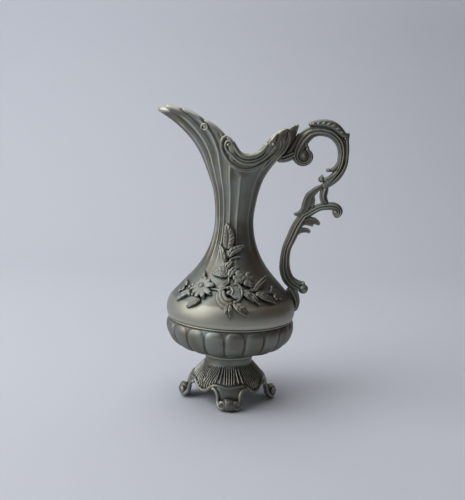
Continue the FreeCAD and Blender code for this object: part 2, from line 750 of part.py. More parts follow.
# Flower sprays: leaves and petals that lie on the shoulder
def on_shoulder(turn, rise):
    """Point of the shoulder's surface and its outward normal, turn in degrees from the face."""
    top = size("neck_rise") - size("shoulder_rise")
    flank = math.radians(value(FLANK))
    swell = size("shoulder_curve")
    sweep = value(NECK_CURVE)
    start = swell * math.sin(flank)
    end = top - sweep * math.sin(flank)

    def radius(height):
        if height <= start:
            return value(CURVE_OUT) + math.sqrt(swell * swell - height * height)
        if height >= end:
            return value(CURVE_IN) - math.sqrt(sweep * sweep - (top - height) ** 2)
        return value(CURVE_OUT) + swell / math.cos(flank) - height * math.tan(flank)

    angle = math.radians(turn)
    out = Vector(math.sin(angle), -math.cos(angle), 0)
    spot = out * radius(rise) + Vector(0, 0, value(SHOULDER) + rise)
    step = 0.5
    slope = (radius(rise + step) - radius(rise - step)) / (2 * step)
    return spot, (out - Vector(0, 0, slope)).normalize()


# share of a leaf's rise that its ends keep, height of a flower to its width, rise of its heart
EDGE_SHARE = 0.35
FLOWER_FALL = 0.8
HEART_SHARE = 1.15
# reach of the petals and of the notches between them, then their lift, from root to heart
FLOWER_ROWS = (
    (1.00, 0.72, -0.30, -0.30),
    (0.70, 0.60, 1.00, 0.45),
    (0.34, 0.34, 0.50, 0.50),
    (0.20, 0.20, 1.05, 1.05),
)


def solid_from(rings, caps):
    """Closed solid between rings of points, with a cap of flat faces at each end."""
    faces = list(caps)
    for near, far in zip(rings, rings[1:]):
        for index in range(len(near)):
            after = (index + 1) % len(near)
            faces.append([near[index], near[after], far[after]])
            faces.append([near[index], far[after], far[index]])
    polygons = [Part.makePolygon(face + face[:1]) for face in faces]
    solid = Part.makeSolid(Part.makeShell([Part.Face(polygon) for polygon in polygons]))
    if solid.Volume < 0:
        solid.reverse()
    return solid


def fan(middle, ring):
    return [[middle, ring[index - 1], ring[index]] for index in range(len(ring))]


def blade(points, halves):
    """Pointed blade with a ridge along its middle, laid on the shoulder."""
    spots = [on_shoulder(*point) for point in points]
    rings = []
    for index, ((spot, normal), half) in enumerate(zip(spots, halves)):
        before = spots[max(index - 1, 0)][0]
        after = spots[min(index + 1, len(spots) - 1)][0]
        side = normal.cross(after - before).normalize()
        lift = size("leaf_rise") * (EDGE_SHARE + (1 - EDGE_SHARE) * half / max(halves))
        rings.append([spot + side * half, spot + normal * lift, spot - side * half,
                      spot - normal * size("leaf_root")])
    return solid_from(rings, [rings[0], rings[-1]])


def flower(turn, rise, count, reach, first):
    """Ring of petals round a domed heart, laid on the shoulder."""
    radius = math.hypot(*on_shoulder(turn, rise)[0][:2])

    def spot(out, angle, lift):
        across = math.degrees(out * math.cos(angle) / radius)
        place, normal = on_shoulder(turn + across, rise + out * math.sin(angle) * FLOWER_FALL)
        return place + normal * lift

    rings = []
    for petal_out, notch_out, petal_lift, notch_lift in FLOWER_ROWS:
        ring = []
        for index in range(count * 2):
            angle = math.radians(first + index * 180.0 / count)
            petal = index % 2 == 0
            out = reach * (petal_out if petal else notch_out)
            lift = size("petal_rise") * (petal_lift if petal else notch_lift)
            ring.append(spot(out, angle, lift))
        rings.append(ring)
    top = spot(0.0, 0.0, size("petal_rise") * HEART_SHARE)
    under = spot(0.0, 0.0, -size("leaf_root"))
    return solid_from(rings, fan(top, rings[-1]) + fan(under, rings[0]))


LEAVES = (
    # points as turn and rise, then half widths
    (((-7.0, 34.0), (-10.0, 38.0), (-16.0, 43.0), (-24.0, 48.0)), (0.8, 2.6, 2.2, 0.2)),
    (((-7.0, 26.5), (-21.0, 32.0), (-33.0, 37.0)), (0.8, 1.8, 0.3)),
    (((-11.0, 27.0), (0.0, 32.0), (12.0, 35.0), (26.0, 36.0)), (0.8, 1.9, 1.7, 0.5)),
    (((-3.0, 28.0), (6.0, 30.5), (13.0, 31.0)), (0.7, 1.3, 0.3)),
    (((-5.0, 22.5), (-14.0, 22.5), (-26.0, 22.5)), (1.2, 3.2, 0.5)),
    (((-4.0, 16.0), (-5.0, 22.0), (-7.0, 28.0), (-8.0, 35.0)), (1.0, 1.0, 0.9, 0.7)),
    (((-38.0, 16.5), (-45.0, 20.5), (-51.0, 23.5)), (1.0, 1.7, 0.3)),
    (((-50.0, 11.5), (-56.0, 9.3), (-61.0, 7.0)), (0.8, 1.9, 0.3)),
    (((-36.0, 10.0), (-37.0, 8.0), (-38.0, 5.6)), (1.5, 2.3, 1.0)),
    (((29.0, 15.0), (42.0, 18.0), (57.0, 20.0)), (0.7, 1.6, 0.4)),
    (((8.0, 14.6), (18.0, 12.6), (27.0, 9.0)), (0.8, 1.9, 0.4)),
    (((24.0, 13.5), (35.0, 11.0), (46.0, 8.5)), (0.8, 2.4, 0.3)),
    (((-1.0, 11.0), (-2.0, 7.0), (-3.0, 3.5)), (1.2, 2.1, 0.4)),
    (((2.0, 11.5), (9.0, 7.5), (16.0, 4.0)), (1.0, 2.3, 0.4)),
    (((-32.0, 15.5), (-12.0, 14.5), (8.0, 15.0), (30.0, 16.0), (56.0, 13.5)),
     (0.8, 1.0, 1.0, 1.0, 0.6)),
    (((-36.0, 15.5), (-52.0, 15.5), (-66.0, 13.8)), (0.9, 0.9, 0.7)),
    (((-36.0, 15.0), (-43.0, 12.0), (-52.0, 11.3)), (0.9, 0.9, 0.7)),
    (((-36.0, 14.5), (-36.2, 12.0), (-36.5, 9.0)), (0.9, 0.9, 0.9)),
    (((10.0, 15.0), (15.0, 17.0), (20.0, 19.5)), (0.9, 0.9, 0.7)),
    (((16.0, 15.2), (21.0, 14.6), (27.0, 13.0)), (0.9, 0.9, 0.7)),
)
FLOWERS = (
    # turn, rise, petals, reach, turn of the first petal
    (-1.0, 13.3, 7, 6.6, 10.0),
    (-36.0, 15.6, 7, 5.2, 0.0),
    (20.0, 19.8, 5, 3.8, 20.0),
    (-43.0, 11.6, 5, 2.8, 30.0),
    (-68.0, 13.8, 5, 3.0, 0.0),
    (58.0, 13.2, 5, 3.2, 15.0),
)
SPRAY_TURN = {"floral_spray_front": 0.0, "floral_spray_back": 180.0}


def make_sprays(shoulder_solid):
    solids = [blade(*settings) for settings in LEAVES]
    solids += [flower(*settings) for settings in FLOWERS]
    whole = solids[0].multiFuse(solids[1:]).cut(shoulder_solid.Shape)
    sprays = []
    for name, turn in SPRAY_TURN.items():
        spray = doc.addObject("Part::Feature", name)
        copy = whole.copy()
        copy.rotate(Vector(0, 0, 0), Vector(0, 0, 1), turn)
        spray.Shape = copy
        sprays.append(spray)
    return sprays


foot = make_foot()
lower_bowl, bowl_solid = make_bowl()
fastening = make_fastening()
upper_body, shoulder_solid, mouth_solid = make_lid()
hinge = make_hinge(shoulder_solid, bowl_solid)
doc.recompute()
handle = make_handle(shoulder_solid, mouth_solid)
sprays = make_sprays(shoulder_solid)
doc.recompute()

pieces = [foot, lower_bowl, upper_body, handle] + fastening + hinge + sprays
for item in doc.Objects:
    if {"Invalid", "Error"} & set(item.State):
        raise RuntimeError(f"{item.Name} failed: {item.State}")
for piece in pieces:
    if piece.Shape.isNull() or not piece.Shape.isValid():
        raise RuntimeError(f"{piece.Label} has no valid shape")

os.makedirs("parts", exist_ok=True)
for piece in pieces:
    piece.Shape.exportStep(f"parts/{piece.Label}.step")
    print(piece.Label, len(piece.Shape.Solids), round(piece.Shape.Volume))
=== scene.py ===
import bisect
import functools
import math

import bmesh
import bpy
import numpy
from mathutils import Matrix, Vector


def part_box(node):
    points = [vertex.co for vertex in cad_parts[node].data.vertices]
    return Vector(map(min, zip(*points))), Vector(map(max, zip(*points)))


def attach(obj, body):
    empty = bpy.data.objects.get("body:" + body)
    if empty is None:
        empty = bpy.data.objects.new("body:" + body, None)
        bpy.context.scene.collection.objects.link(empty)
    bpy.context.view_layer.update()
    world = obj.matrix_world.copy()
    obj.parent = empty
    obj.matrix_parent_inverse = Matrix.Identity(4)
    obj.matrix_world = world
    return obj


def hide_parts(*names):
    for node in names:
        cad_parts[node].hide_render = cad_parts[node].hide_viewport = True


bl_info = {
    "name": "Cast pewter ewer",
    "version": (1, 0, 0),
    "blender": (4, 5, 0),
    "location": "View3D > Sidebar > Ewer",
    "description": "Ewer-shaped pewter casket with a hinged upper half, on a plain studio floor",
    "category": "Object",
}

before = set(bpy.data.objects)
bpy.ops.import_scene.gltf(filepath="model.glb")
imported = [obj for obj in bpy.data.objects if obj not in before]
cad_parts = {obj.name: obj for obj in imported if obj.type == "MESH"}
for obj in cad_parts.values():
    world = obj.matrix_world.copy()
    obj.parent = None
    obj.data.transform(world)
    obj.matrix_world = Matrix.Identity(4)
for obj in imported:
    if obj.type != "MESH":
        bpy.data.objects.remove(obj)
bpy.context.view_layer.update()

# Shapes are worked out in millimetres in the frame's axes: +Z up, spout to -X, handle to +X, show
# face to -Y. Turns are in degrees about the axis, -90 at the show face. Meshes are kept in metres.
MM = 0.001


def top_of(name):
    """Height of a solid's top."""
    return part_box(name)[1].z / MM


# Small mathematics
def clamp(x, low=0.0, high=1.0):
    """x, held between low and high."""
    return min(max(x, low), high)


def smooth(low, high, x):
    """0 below low, 1 above high, an even S between them."""
    t = clamp((x - low) / (high - low))
    return t * t * (3.0 - 2.0 * t)


def stretch(marks, x):
    """Index of the mark that begins the stretch in which x lies."""
    return int(clamp(bisect.bisect_right(marks, x) - 1, 0, len(marks) - 2))


def bend(a, b, c, d, t):
    """Smooth line from b to c, with neighbours a and d."""
    return b + 0.5 * t * (c - a + t * (2 * a - 5 * b + 4 * c - d + t * (3 * (b - c) + d - a)))


class Track:
    """Smooth line through points, read by its share of length. Numbers past the third ride along."""

    STEPS = 14

    def __init__(self, points):
        rows = [tuple(float(n) for n in point) for point in points]
        before = tuple(2 * a - b for a, b in zip(rows[0], rows[1]))
        after = tuple(2 * a - b for a, b in zip(rows[-1], rows[-2]))
        rows = [before] + rows + [after]
        self.rows = []
        for four in zip(rows, rows[1:], rows[2:], rows[3:]):
            for step in range(self.STEPS):
                t = step / self.STEPS
                self.rows.append(tuple(bend(*numbers, t) for numbers in zip(*four)))
        self.rows.append(rows[-2])
        self.marks = [0.0]
        for a, b in zip(self.rows, self.rows[1:]):
            self.marks.append(self.marks[-1] + math.dist(a[:3], b[:3]))
        self.length = self.marks[-1]

    def at(self, share):
        reach = clamp(share) * self.length
        index = stretch(self.marks, reach)
        span = self.marks[index + 1] - self.marks[index]
        part = (reach - self.marks[index]) / span if span else 0.0
        return [a + (b - a) * part for a, b in zip(self.rows[index], self.rows[index + 1])]

    def spot(self, share):
        return Vector(self.at(share)[:3])

    def along(self, share):
        return (self.spot(share + 0.004) - self.spot(share - 0.004)).normalized()


def ladder(rows, x):
    """Numbers of a table at x, eased from row to row. The first column is x."""
    index = stretch([row[0] for row in rows], x)
    low = rows[index]
    high = rows[index + 1]
    before = rows[max(index - 1, 0)]
    after = rows[min(index + 2, len(rows) - 1)]
    span = high[0] - low[0]
    t = clamp((x - low[0]) / span)
    result = []
    for a, b, c, d in list(zip(before, low, high, after))[1:]:
        start = (c - a) / (high[0] - before[0]) * span
        end = (d - b) / (after[0] - low[0]) * span
        result.append(b + t * (start + t * (3 * (c - b) - 2 * start - end
                                            + t * (2 * (b - c) + start + end))))
    return result


# Mesh building
PATTERN = "unit ball"
MOST_TRIANGLES = 185000
SPECK_POINTS = 200


def turned(rows, steps, place):
    """Closed section of a number of rows, spun round the axis; place(row, turn) sets each point."""
    mesh = bmesh.new()
    bmesh.ops.create_grid(mesh, x_segments=steps, y_segments=rows, size=1.0)
    row_mark = mesh.verts.layers.int.new("row")
    turn_mark = mesh.verts.layers.float.new("turn")
    for vert in mesh.verts:
        step = round((vert.co.x + 1.0) / 2.0 * steps) % steps
        row = round((vert.co.y + 1.0) / 2.0 * rows) % rows
        vert[row_mark] = row
        vert[turn_mark] = 360.0 * step / steps - 180.0
        # a ring for now, so that the grid's edges meet
        turn = math.radians(vert[turn_mark])
        tilt = 2 * math.pi * row / rows
        reach = 3.0 + math.cos(tilt)
        vert.co = reach * math.cos(turn), reach * math.sin(turn), math.sin(tilt)
    bmesh.ops.remove_doubles(mesh, verts=mesh.verts, dist=1e-4)
    for vert in mesh.verts:
        vert.co = place(vert[row_mark], vert[turn_mark])
    bmesh.ops.recalc_face_normals(mesh, faces=mesh.faces)
    if mesh.calc_volume(signed=True) < 0.0:
        bmesh.ops.reverse_faces(mesh, faces=mesh.faces)
    return mesh


def unit_ball(mesh, around, along):
    """Adds a ball of radius one to a mesh from which nothing was deleted; gives back its points."""
    name = f"{PATTERN} {around} by {along}"
    data = bpy.data.meshes.get(name)
    if data is None:
        work = bmesh.new()
        bmesh.ops.create_uvsphere(work, u_segments=around, v_segments=along, radius=1.0)
        data = bpy.data.meshes.new(name)
        work.to_mesh(data)
        work.free()
    first = len(mesh.verts)
    mesh.from_mesh(data)
    mesh.verts.ensure_lookup_table()
    return mesh.verts[first:]


def rod(mesh, track, normal, section, around=24, along=60):
    """Closed rod along a track. section(share, angle, extra) gives its reach across and up."""
    verts = unit_ball(mesh, around, along)
    frames = {}
    for vert in verts:
        share = round(math.acos(clamp(vert.co.z, -1.0, 1.0)) / math.pi, 5)
        angle = math.atan2(vert.co.y, vert.co.x)
        if share not in frames:
            row = track.at(share)
            spot = Vector(row[:3])
            along_here = track.along(share)
            up = normal(spot)
            side = along_here.cross(up).normalized()
            frames[share] = spot, side, side.cross(along_here).normalized(), row[3:]
        spot, side, up, extra = frames[share]
        across, rise = section(share, angle, extra)
        vert.co = spot + side * across + up * rise
    return verts


def rounded(share, length, half):
    """Factor that rounds off both ends of a rod."""
    near = min(share, 1.0 - share) * length / max(half, 0.01)
    return math.sqrt(max(1.0 - (1.0 - near) ** 2, 0.0)) if near < 1.0 else 1.0


def plain_rod(mesh, points, normal, around=20, along=48):
    """Rod of oval section through points that also hold half width and half depth."""
    track = Track(points)

    def section(share, angle, extra):
        half, depth = extra
        cap = rounded(share, track.length, half)
        return math.cos(angle) * half * cap, math.sin(angle) * depth * cap

    return rod(mesh, track, normal, section, around, along)


def drop_patterns():
    """Removes the unit balls that rods and balls were shaped from."""
    for data in [item for item in bpy.data.meshes if item.name.startswith(PATTERN)]:
        bpy.data.meshes.remove(data)


def ball(mesh, centre, radii, segments=20):
    """Adds a ball or an egg to a mesh."""
    matrix = Matrix.Translation(centre) @ Matrix.Diagonal((*radii, 1.0))
    for vert in unit_ball(mesh, segments, segments // 2):
        vert.co = matrix @ vert.co


def new_piece(name, mesh, material):
    """Object in the scene from a mesh in millimetres."""
    bmesh.ops.scale(mesh, vec=(MM, MM, MM), verts=mesh.verts)
    data = bpy.data.meshes.new(name)
    mesh.to_mesh(data)
    mesh.free()
    piece = bpy.data.objects.new(name, data)
    bpy.context.scene.collection.objects.link(piece)
    data.materials.append(material)
    return piece


def drop_specks(work):
    """Deletes the tiny closed bubbles that melting leaves inside a casting."""
    specks = []
    for vert in work.verts:
        vert.tag = False
    for first in work.verts:
        if first.tag:
            continue
        first.tag = True
        island = [first]
        for vert in island:
            for edge in vert.link_edges:
                other = edge.other_vert(vert)
                if not other.tag:
                    other.tag = True
                    island.append(other)
        if len(island) < SPECK_POINTS:
            specks += island
    bmesh.ops.delete(work, geom=specks, context="VERTS")


def bake(piece):
    """Makes the result of a piece's modifiers its mesh."""
    graph = bpy.context.evaluated_depsgraph_get()
    data = bpy.data.meshes.new_from_object(piece.evaluated_get(graph),
                                           preserve_all_data_layers=True, depsgraph=graph)
    before = piece.data
    piece.modifiers.clear()
    piece.data = data
    bpy.data.meshes.remove(before)
    data.name = piece.name
    return data


def fused(name, mesh, material, grain, rounds):
    """Piece whose overlapping lumps are melted into one casting, with a grain in millimetres."""
    bmesh.ops.recalc_face_normals(mesh, faces=mesh.faces)
    piece = new_piece(name, mesh, material)
    melt = piece.modifiers.new("melt", "REMESH")
    melt.mode = "VOXEL"
    melt.voxel_size = grain * MM
    data = bake(piece)
    work = bmesh.new()
    work.from_mesh(data)
    drop_specks(work)
    for _ in range(rounds):
        bmesh.ops.smooth_vert(work, verts=work.verts, factor=0.5, use_axis_x=True,
                              use_axis_y=True, use_axis_z=True)
    work.to_mesh(data)
    work.free()
    if not data.materials:
        data.materials.append(material)
    return piece


def finish_surface(piece, fine, broad):
    """Smooth shading, and how deep each point lies below its near and its wide surroundings."""
    data = piece.data
    data.polygons.foreach_set("use_smooth", [True] * len(data.polygons))
    count = len(data.vertices)
    spots = numpy.empty(count * 3, numpy.float32)
    data.vertices.foreach_get("co", spots)
    spots = spots.reshape(-1, 3).astype(numpy.float64)
    normals = numpy.empty(count * 3, numpy.float32)
    data.vertices.foreach_get("normal", normals)
    normals = normals.reshape(-1, 3)
    ends = numpy.empty(len(data.edges) * 2, numpy.int32)
    data.edges.foreach_get("vertices", ends)
    near, far = ends.reshape(-1, 2).T
    links = numpy.bincount(ends, minlength=count) + 1.0
    blurred = spots
    for step in range(1, broad + 1):
        sums = [numpy.bincount(near, blurred[far, axis], count)
                + numpy.bincount(far, blurred[near, axis], count) + blurred[:, axis]
                for axis in range(3)]
        blurred = numpy.stack(sums, axis=1) / links[:, None]
        if step in (fine, broad):
            depth = ((blurred - spots) * normals).sum(axis=1) / MM
            name = "hollow" if step == fine else "cavity"
            layer = data.attributes.new(name, "FLOAT", "POINT")
            layer.data.foreach_set("value", depth.astype(numpy.float32))
    return piece


def thinned(piece):
    """Piece with its plain areas in larger faces, down to the number of triangles it may have."""
    count = 2 * len(piece.data.polygons)
    if count > MOST_TRIANGLES:
        thin = piece.modifiers.new("thin", "DECIMATE")
        thin.ratio = MOST_TRIANGLES / count
        bake(piece)
    return piece


# Materials
def linear(code):
    """Linear colour with alpha from a hex sRGB code."""
    result = []
    for place in (1, 3, 5):
        part = int(code[place:place + 2], 16) / 255.0
        result.append(part / 12.92 if part <= 0.04045 else ((part + 0.055) / 1.055) ** 2.4)
    return (*result, 1.0)


def join(tree, source, socket):
    """Links a socket to its source, or sets it to a plain value."""
    if isinstance(source, bpy.types.NodeSocket):
        tree.links.new(source, socket)
    else:
        socket.default_value = source


def node(tree, kind, links=None, **settings):
    """Adds a shader node, sets its fields and joins its inputs."""
    item = tree.nodes.new("ShaderNode" + kind)
    for key, setting in settings.items():
        setattr(item, key, setting)
    for socket, source in (links or {}).items():
        join(tree, source, item.inputs[socket])
    return item


def blank_material(name):
    """Material without nodes, and its node tree."""
    material = bpy.data.materials.new(name)
    material.use_nodes = True
    material.node_tree.nodes.clear()
    return material, material.node_tree


def ramp(tree, source, low, high):
    """0 at low, 1 at high, eased."""
    return node(tree, "MapRange", {"Value": source, "From Min": low, "From Max": high},
                interpolation_type="SMOOTHSTEP").outputs["Result"]


def blend(tree, factor, first, second):
    """First colour where the factor is 0, second where it is 1."""
    # sockets 6 and 7 and output 2 are the Mix node's colours
    return node(tree, "Mix", {"Factor": factor, 6: first, 7: second}, data_type="RGBA").outputs[2]


def maths(tree, operation, first, second):
    """Sum, product or the like of two sockets or numbers."""
    return node(tree, "Math", {0: first, 1: second}, operation=operation).outputs[0]


def clouds(tree, place, size, detail):
    """Noise whose blotches are about a size across."""
    return node(tree, "TexNoise", {"Vector": place, "Scale": 1.0 / (size * MM), "Detail": detail},
                noise_dimensions="3D").outputs["Fac"]


def pewter(colours, name, kept):
    """Cast pewter, wiped back from a dark patina: hollows stay dark, corners get painted shade, and
    ridges are rubbed bright with a painted highlight on their tops.

    kept is the share of the patina that the wiping left in the hollows, and of the painted shade in the
    corners.
    """
    material, tree = blank_material(name)
    place = node(tree, "TexCoord").outputs["Object"]
    hollow = node(tree, "Attribute", attribute_name="hollow").outputs["Fac"]
    cavity = node(tree, "Attribute", attribute_name="cavity").outputs["Fac"]
    # cloudy wear a finger's width across, the mottle of the casting skin, and its fine grain
    wear = clouds(tree, place, 14.0, 3.0)
    mottle = clouds(tree, place, 1.6, 4.0)
    grain = clouds(tree, place, 0.35, 3.0)
    # painted shade within about 3 mm of a corner or of another part, from ambient occlusion; the patina
    # stays in hollows of 0.07 to 0.55 mm
    corner = node(tree, "AmbientOcclusion", {"Distance": 3.0 * MM}, samples=8).outputs["AO"]
    painted_corner_shade = maths(tree, "SUBTRACT", 1.0, corner)
    deep = maths(tree, "ADD", ramp(tree, hollow, 0.0, 0.07), ramp(tree, cavity, 0.03, 0.55))
    # painted shade: darker where ambient occlusion closes a corner over
    deep = maths(tree, "ADD", deep, ramp(tree, painted_corner_shade, 0.28, 0.85))
    deep = maths(tree, "MULTIPLY", deep, maths(tree, "ADD", 0.55, mottle))
    deep = node(tree, "Clamp", {"Value": deep}).outputs[0]
    # ridges rubbed bright by handling, and a painted highlight on their tops
    rubbed_and_highlit = ramp(tree, hollow, -0.008, -0.07)
    body = blend(tree, ramp(tree, wear, 0.38, 0.62), linear(colours.metal),
                 linear(colours.metal_warm))
    body = blend(tree, maths(tree, "MULTIPLY", rubbed_and_highlit, 0.75), body, linear(colours.worn_and_highlight))
    # patina in the hollows, and painted shade in the corners
    body = blend(tree, maths(tree, "MULTIPLY", deep, kept), body, linear(colours.patina))
    rough = maths(tree, "ADD", 0.46, maths(tree, "MULTIPLY", mottle, 0.10))
    rough = maths(tree, "ADD", rough, maths(tree, "MULTIPLY", deep, 0.22))
    rise = maths(tree, "ADD", maths(tree, "MULTIPLY", mottle, 0.7),
                 maths(tree, "MULTIPLY", grain, 0.3))
    # the casting skin is about 0.06 mm rough
    bump = node(tree, "Bump", {"Height": rise, "Strength": 0.22, "Distance": 0.06 * MM})
    shader = node(tree, "BsdfPrincipled", {
        "Base Color": body, "Roughness": rough, "Metallic": 1.0, "Normal": bump.outputs[0]})
    node(tree, "OutputMaterial", {"Surface": shader.outputs[0]})
    return material


def plain_metal(name, code, rough):
    """Turned or drawn metal with an even, slightly brushed sheen."""
    material, tree = blank_material(name)
    place = node(tree, "TexCoord").outputs["Object"]
    # marks of the tool, under a millimetre across and 0.02 mm deep
    mottle = clouds(tree, place, 0.8, 2.0)
    bump = node(tree, "Bump", {"Height": mottle, "Strength": 0.1, "Distance": 0.02 * MM})
    shader = node(tree, "BsdfPrincipled", {
        "Base Color": linear(code), "Roughness": rough, "Metallic": 1.0,
        "Normal": bump.outputs[0]})
    node(tree, "OutputMaterial", {"Surface": shader.outputs[0]})
    return material


def dress(name, material):
    """Gives a piece of the frame its material."""
    data = bpy.data.objects[name].data
    data.materials.clear()
    data.materials.append(material)


def shared(name, make):
    """Material by name, made once."""
    return bpy.data.materials.get(name) or make()


def ornament_pewter(context):
    """Pewter of the ornament, with its hollows left dark and painted shade in its corners."""
    name = "cast pewter, patinated and rubbed back"
    return shared(name, lambda: pewter(context.scene.ewer_colours, name, 0.86))


def body_pewter(context):
    """Pewter of the bowl and the body, with less of the patina, and less of the painted shade in the
    corners, left.
    """
    name = "cast pewter, wiped nearly clean"
    return shared(name, lambda: pewter(context.scene.ewer_colours, name, 0.45))


# Bowl: side arc about (BOWL_AXIS, BOWL_MIDDLE), pillowed gadroons on a plain ground
BOWL_SEAT = top_of("foot")
BOWL_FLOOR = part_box("foot_washer")[0].z / MM
BOWL_AXIS = 23.06
BOWL_MIDDLE = 42.8
BOWL_CURVE = 12.44
BOWL_WALL = 2.2
SCREW_HOLE = 2.3
# turns of the side arc: its lower end, its upper end outside and its upper end inside
ARC_LOW = -71.6
ARC_TOP = 19.0
ARC_INSIDE = 20.0
# flat middle of the floor, then how far and over what run it rises to the side
FLOOR_FLAT = 9.5
FLOOR_RISE = 5.1
FLOOR_RUN = 16.8
# the photograph shows the parting line this much above the solids' bowl
SEAM_RISE = 0.7
SEAM = top_of("lower_bowl") + SEAM_RISE
SEAM_GAP = 0.3
LOBE_TURN = -4.5
# seat ring under the bowl, as radius and height over the seat; then the lip, from the seam
SEAT_RING = ((SCREW_HOLE, 0.0), (8.0, 0.0), (13.9, 0.0), (14.2, 0.25), (14.25, 0.8), (14.3, 1.3),
             (14.5, 1.55), (14.9, 1.65))
GADROON_FOOT = (15.4, 1.75)
BOWL_LIP = ((34.66, -0.5), (34.64, -0.28), (34.54, -0.1), (34.3, 0.0), (33.4, 0.0), (32.7, -0.02),
            (32.47, -0.2), (32.44, -0.5))


def bowl_arc(curve, turn):
    """Radius and height on an arc about the middle of the bowl's side."""
    return BOWL_AXIS + curve * math.cos(turn), BOWL_MIDDLE + curve * math.sin(turn)


def floor_height(radius):
    """Height of the bowl's dished floor."""
    return BOWL_FLOOR + FLOOR_RISE * (max(radius - FLOOR_FLAT, 0.0) / FLOOR_RUN) ** 1.15


def bowl_section():
    """Rows of the bowl's wall: radius, height, outward normal and run along the gadroon."""
    slope_steps = 18
    side_steps = 46
    inner_steps = 23
    rows = []

    def plain(points):
        rows.extend((r, z, 0.0, 0.0, None) for r, z in points)

    plain((r, BOWL_SEAT + rise) for r, rise in SEAT_RING)
    low = (GADROON_FOOT[0], BOWL_SEAT + GADROON_FOOT[1])
    high = bowl_arc(BOWL_CURVE, math.radians(ARC_LOW))
    flat = math.dist(low, high)
    across = ((high[1] - low[1]) / flat, -(high[0] - low[0]) / flat)
    for step in range(slope_steps):
        t = step / slope_steps
        rows.append((low[0] + (high[0] - low[0]) * t, low[1] + (high[1] - low[1]) * t,
                     *across, flat * t))
    for step in range(side_steps + 1):
        turn = math.radians(ARC_LOW + (ARC_TOP - ARC_LOW) * step / side_steps)
        rows.append((*bowl_arc(BOWL_CURVE, turn), math.cos(turn), math.sin(turn),
                     flat + BOWL_CURVE * (turn - math.radians(ARC_LOW))))
    end = rows[-1][4]
    plain((r, SEAM + rise) for r, rise in BOWL_LIP)
    for step in range(inner_steps + 1):
        turn = math.radians(ARC_INSIDE + (ARC_LOW - ARC_INSIDE) * step / inner_steps)
        plain([bowl_arc(BOWL_CURVE - BOWL_WALL, turn)])
    plain((r, floor_height(r)) for r in (22.0, 18.0, 14.0, 10.5, FLOOR_FLAT, 6.0, SCREW_HOLE))
    plain([(SCREW_HOLE, (BOWL_SEAT + BOWL_FLOOR) / 2)])
    return rows, end


def make_bowl(sizes, material):
    """Bowl spun from its section, with a pillowed lobe on each gadroon."""
    rows, end = bowl_section()
    lobes = sizes.gadroons
    depth = sizes.gadroon_depth / MM

    def place(row, turn):
        r, z, out, up, run = rows[row]
        if run is not None:
            across = ((turn + 90.0 - LOBE_TURN) / 360.0 * lobes) % 1.0 * 2.0 - 1.0
            half = math.pi * r / lobes
            # how near the point lies to the lobe's sides, top and foot, 1 on its outline
            top = max(1.0 - (end - run - 0.35) / (half * 0.85), 0.0)
            foot = max(1.0 - (run - 0.3) / (half * 0.9), 0.0)
            edge = (abs(across / 0.93) ** 2.8 + top ** 2.6 + foot ** 2.6) ** (1 / 2.7)
            fall = depth * clamp(0.45 * edge ** 2 + 0.55 * edge ** 4)
            r -= out * fall
            z -= up * fall
        angle = math.radians(turn)
        return r * math.cos(angle), r * math.sin(angle), z

    piece = new_piece("gadrooned_bowl", turned(len(rows), 480, place), material)
    return finish_surface(piece, 2, 16)


# Lid: shoulder arc, straight flank and neck arc, then the mouth's level ovals
# each arc as radius and height of its middle, and its own radius
SHOULDER = (24.6, 52.0, 11.0)
NECK = (56.1, 101.5, 45.6)
FLANK = 42.3
LID = SEAM + SEAM_GAP
LID_WALL = 1.8
# flange that drops into the bowl: radius, and height from the lid's edge
FLANGE = ((33.1, 1.5), (32.0, 1.3), (30.75, 1.25), (30.69, 0.1), (30.69, -1.2), (30.85, -1.3),
          (31.95, -1.3), (32.09, -1.15), (32.09, 0.0))
# height, reach to the spout, reach to the lip, half width
MOUTH = (
    (94.0, 11.1, 11.1, 11.1), (101.5, 10.5, 10.5, 10.5), (109.0, 10.9, 11.3, 11.0),
    (117.0, 12.2, 12.9, 12.2),
    (124.0, 14.6, 15.3, 13.4), (131.0, 17.4, 19.7, 14.2), (138.0, 20.9, 25.4, 14.6),
    (145.0, 26.0, 29.7, 14.8), (151.0, 32.3, 31.8, 15.0), (156.0, 39.4, 32.6, 15.2),
    (160.5, 48.4, 33.2, 15.4),
)
# rim from the spout's tip to the lip's tip: turn, height, bulge up to the next notch
RIM = (
    (-180.0, 157.0, 0.6), (-146.0, 157.5, 2.3), (-129.5, 157.1, 2.8), (-119.6, 152.8, 2.4),
    (-107.0, 144.8, 1.3), (-98.5, 140.8, -1.6), (-80.0, 135.4, -1.5), (-58.0, 141.6, 1.1),
    (-48.5, 147.2, 0.9), (-32.5, 149.7, 0.8), (-12.0, 151.6, 0.3), (0.0, 152.4, 0.0),
)
# ridges of the neck: turn and height of each
RIDGES = ((-154.5, 0.34), (-138.0, 0.34), (-123.0, 0.22), (-104.5, 0.28), (-82.5, 0.30),
          (-45.0, 0.34), (-22.5, 0.34))
RIDGE_HALF = 3.4
CHANNEL_DEPTH = 0.42
# ridges further apart than this have a plain field between them, not a channel
CHANNEL_MOST = 25.0
# swell of the rim's lobes, and the turn within which the scrolls of the dip lie
LOBE_SWELL = 0.55
SCROLL_TURN = 112.0


def shoulder_profile(share):
    """Radius, height and normal on the lid's outside, from its edge to the neck."""
    cx, cz, swell = SHOULDER
    nx, nz, sweep = NECK
    flank = math.radians(FLANK)
    first = swell * (flank + math.asin((cz - LID) / swell))
    start = (cx + swell * math.cos(flank), cz + swell * math.sin(flank))
    end = (nx - sweep * math.cos(flank), nz - sweep * math.sin(flank))
    second = math.dist(start, end)
    third = sweep * flank
    reach = share * (first + second + third)
    if reach < first:
        turn = reach / swell - math.asin((cz - LID) / swell)
        return cx + swell * math.cos(turn), cz + swell * math.sin(turn), math.cos(turn), math.sin(turn)
    if reach < first + second:
        t = (reach - first) / second
        return (start[0] + (end[0] - start[0]) * t, start[1] + (end[1] - start[1]) * t,
                math.cos(flank), math.sin(flank))
    turn = flank * (1.0 - (reach - first - second) / third)
    return nx - sweep * math.cos(turn), nz - sweep * math.sin(turn), math.cos(turn), math.sin(turn)


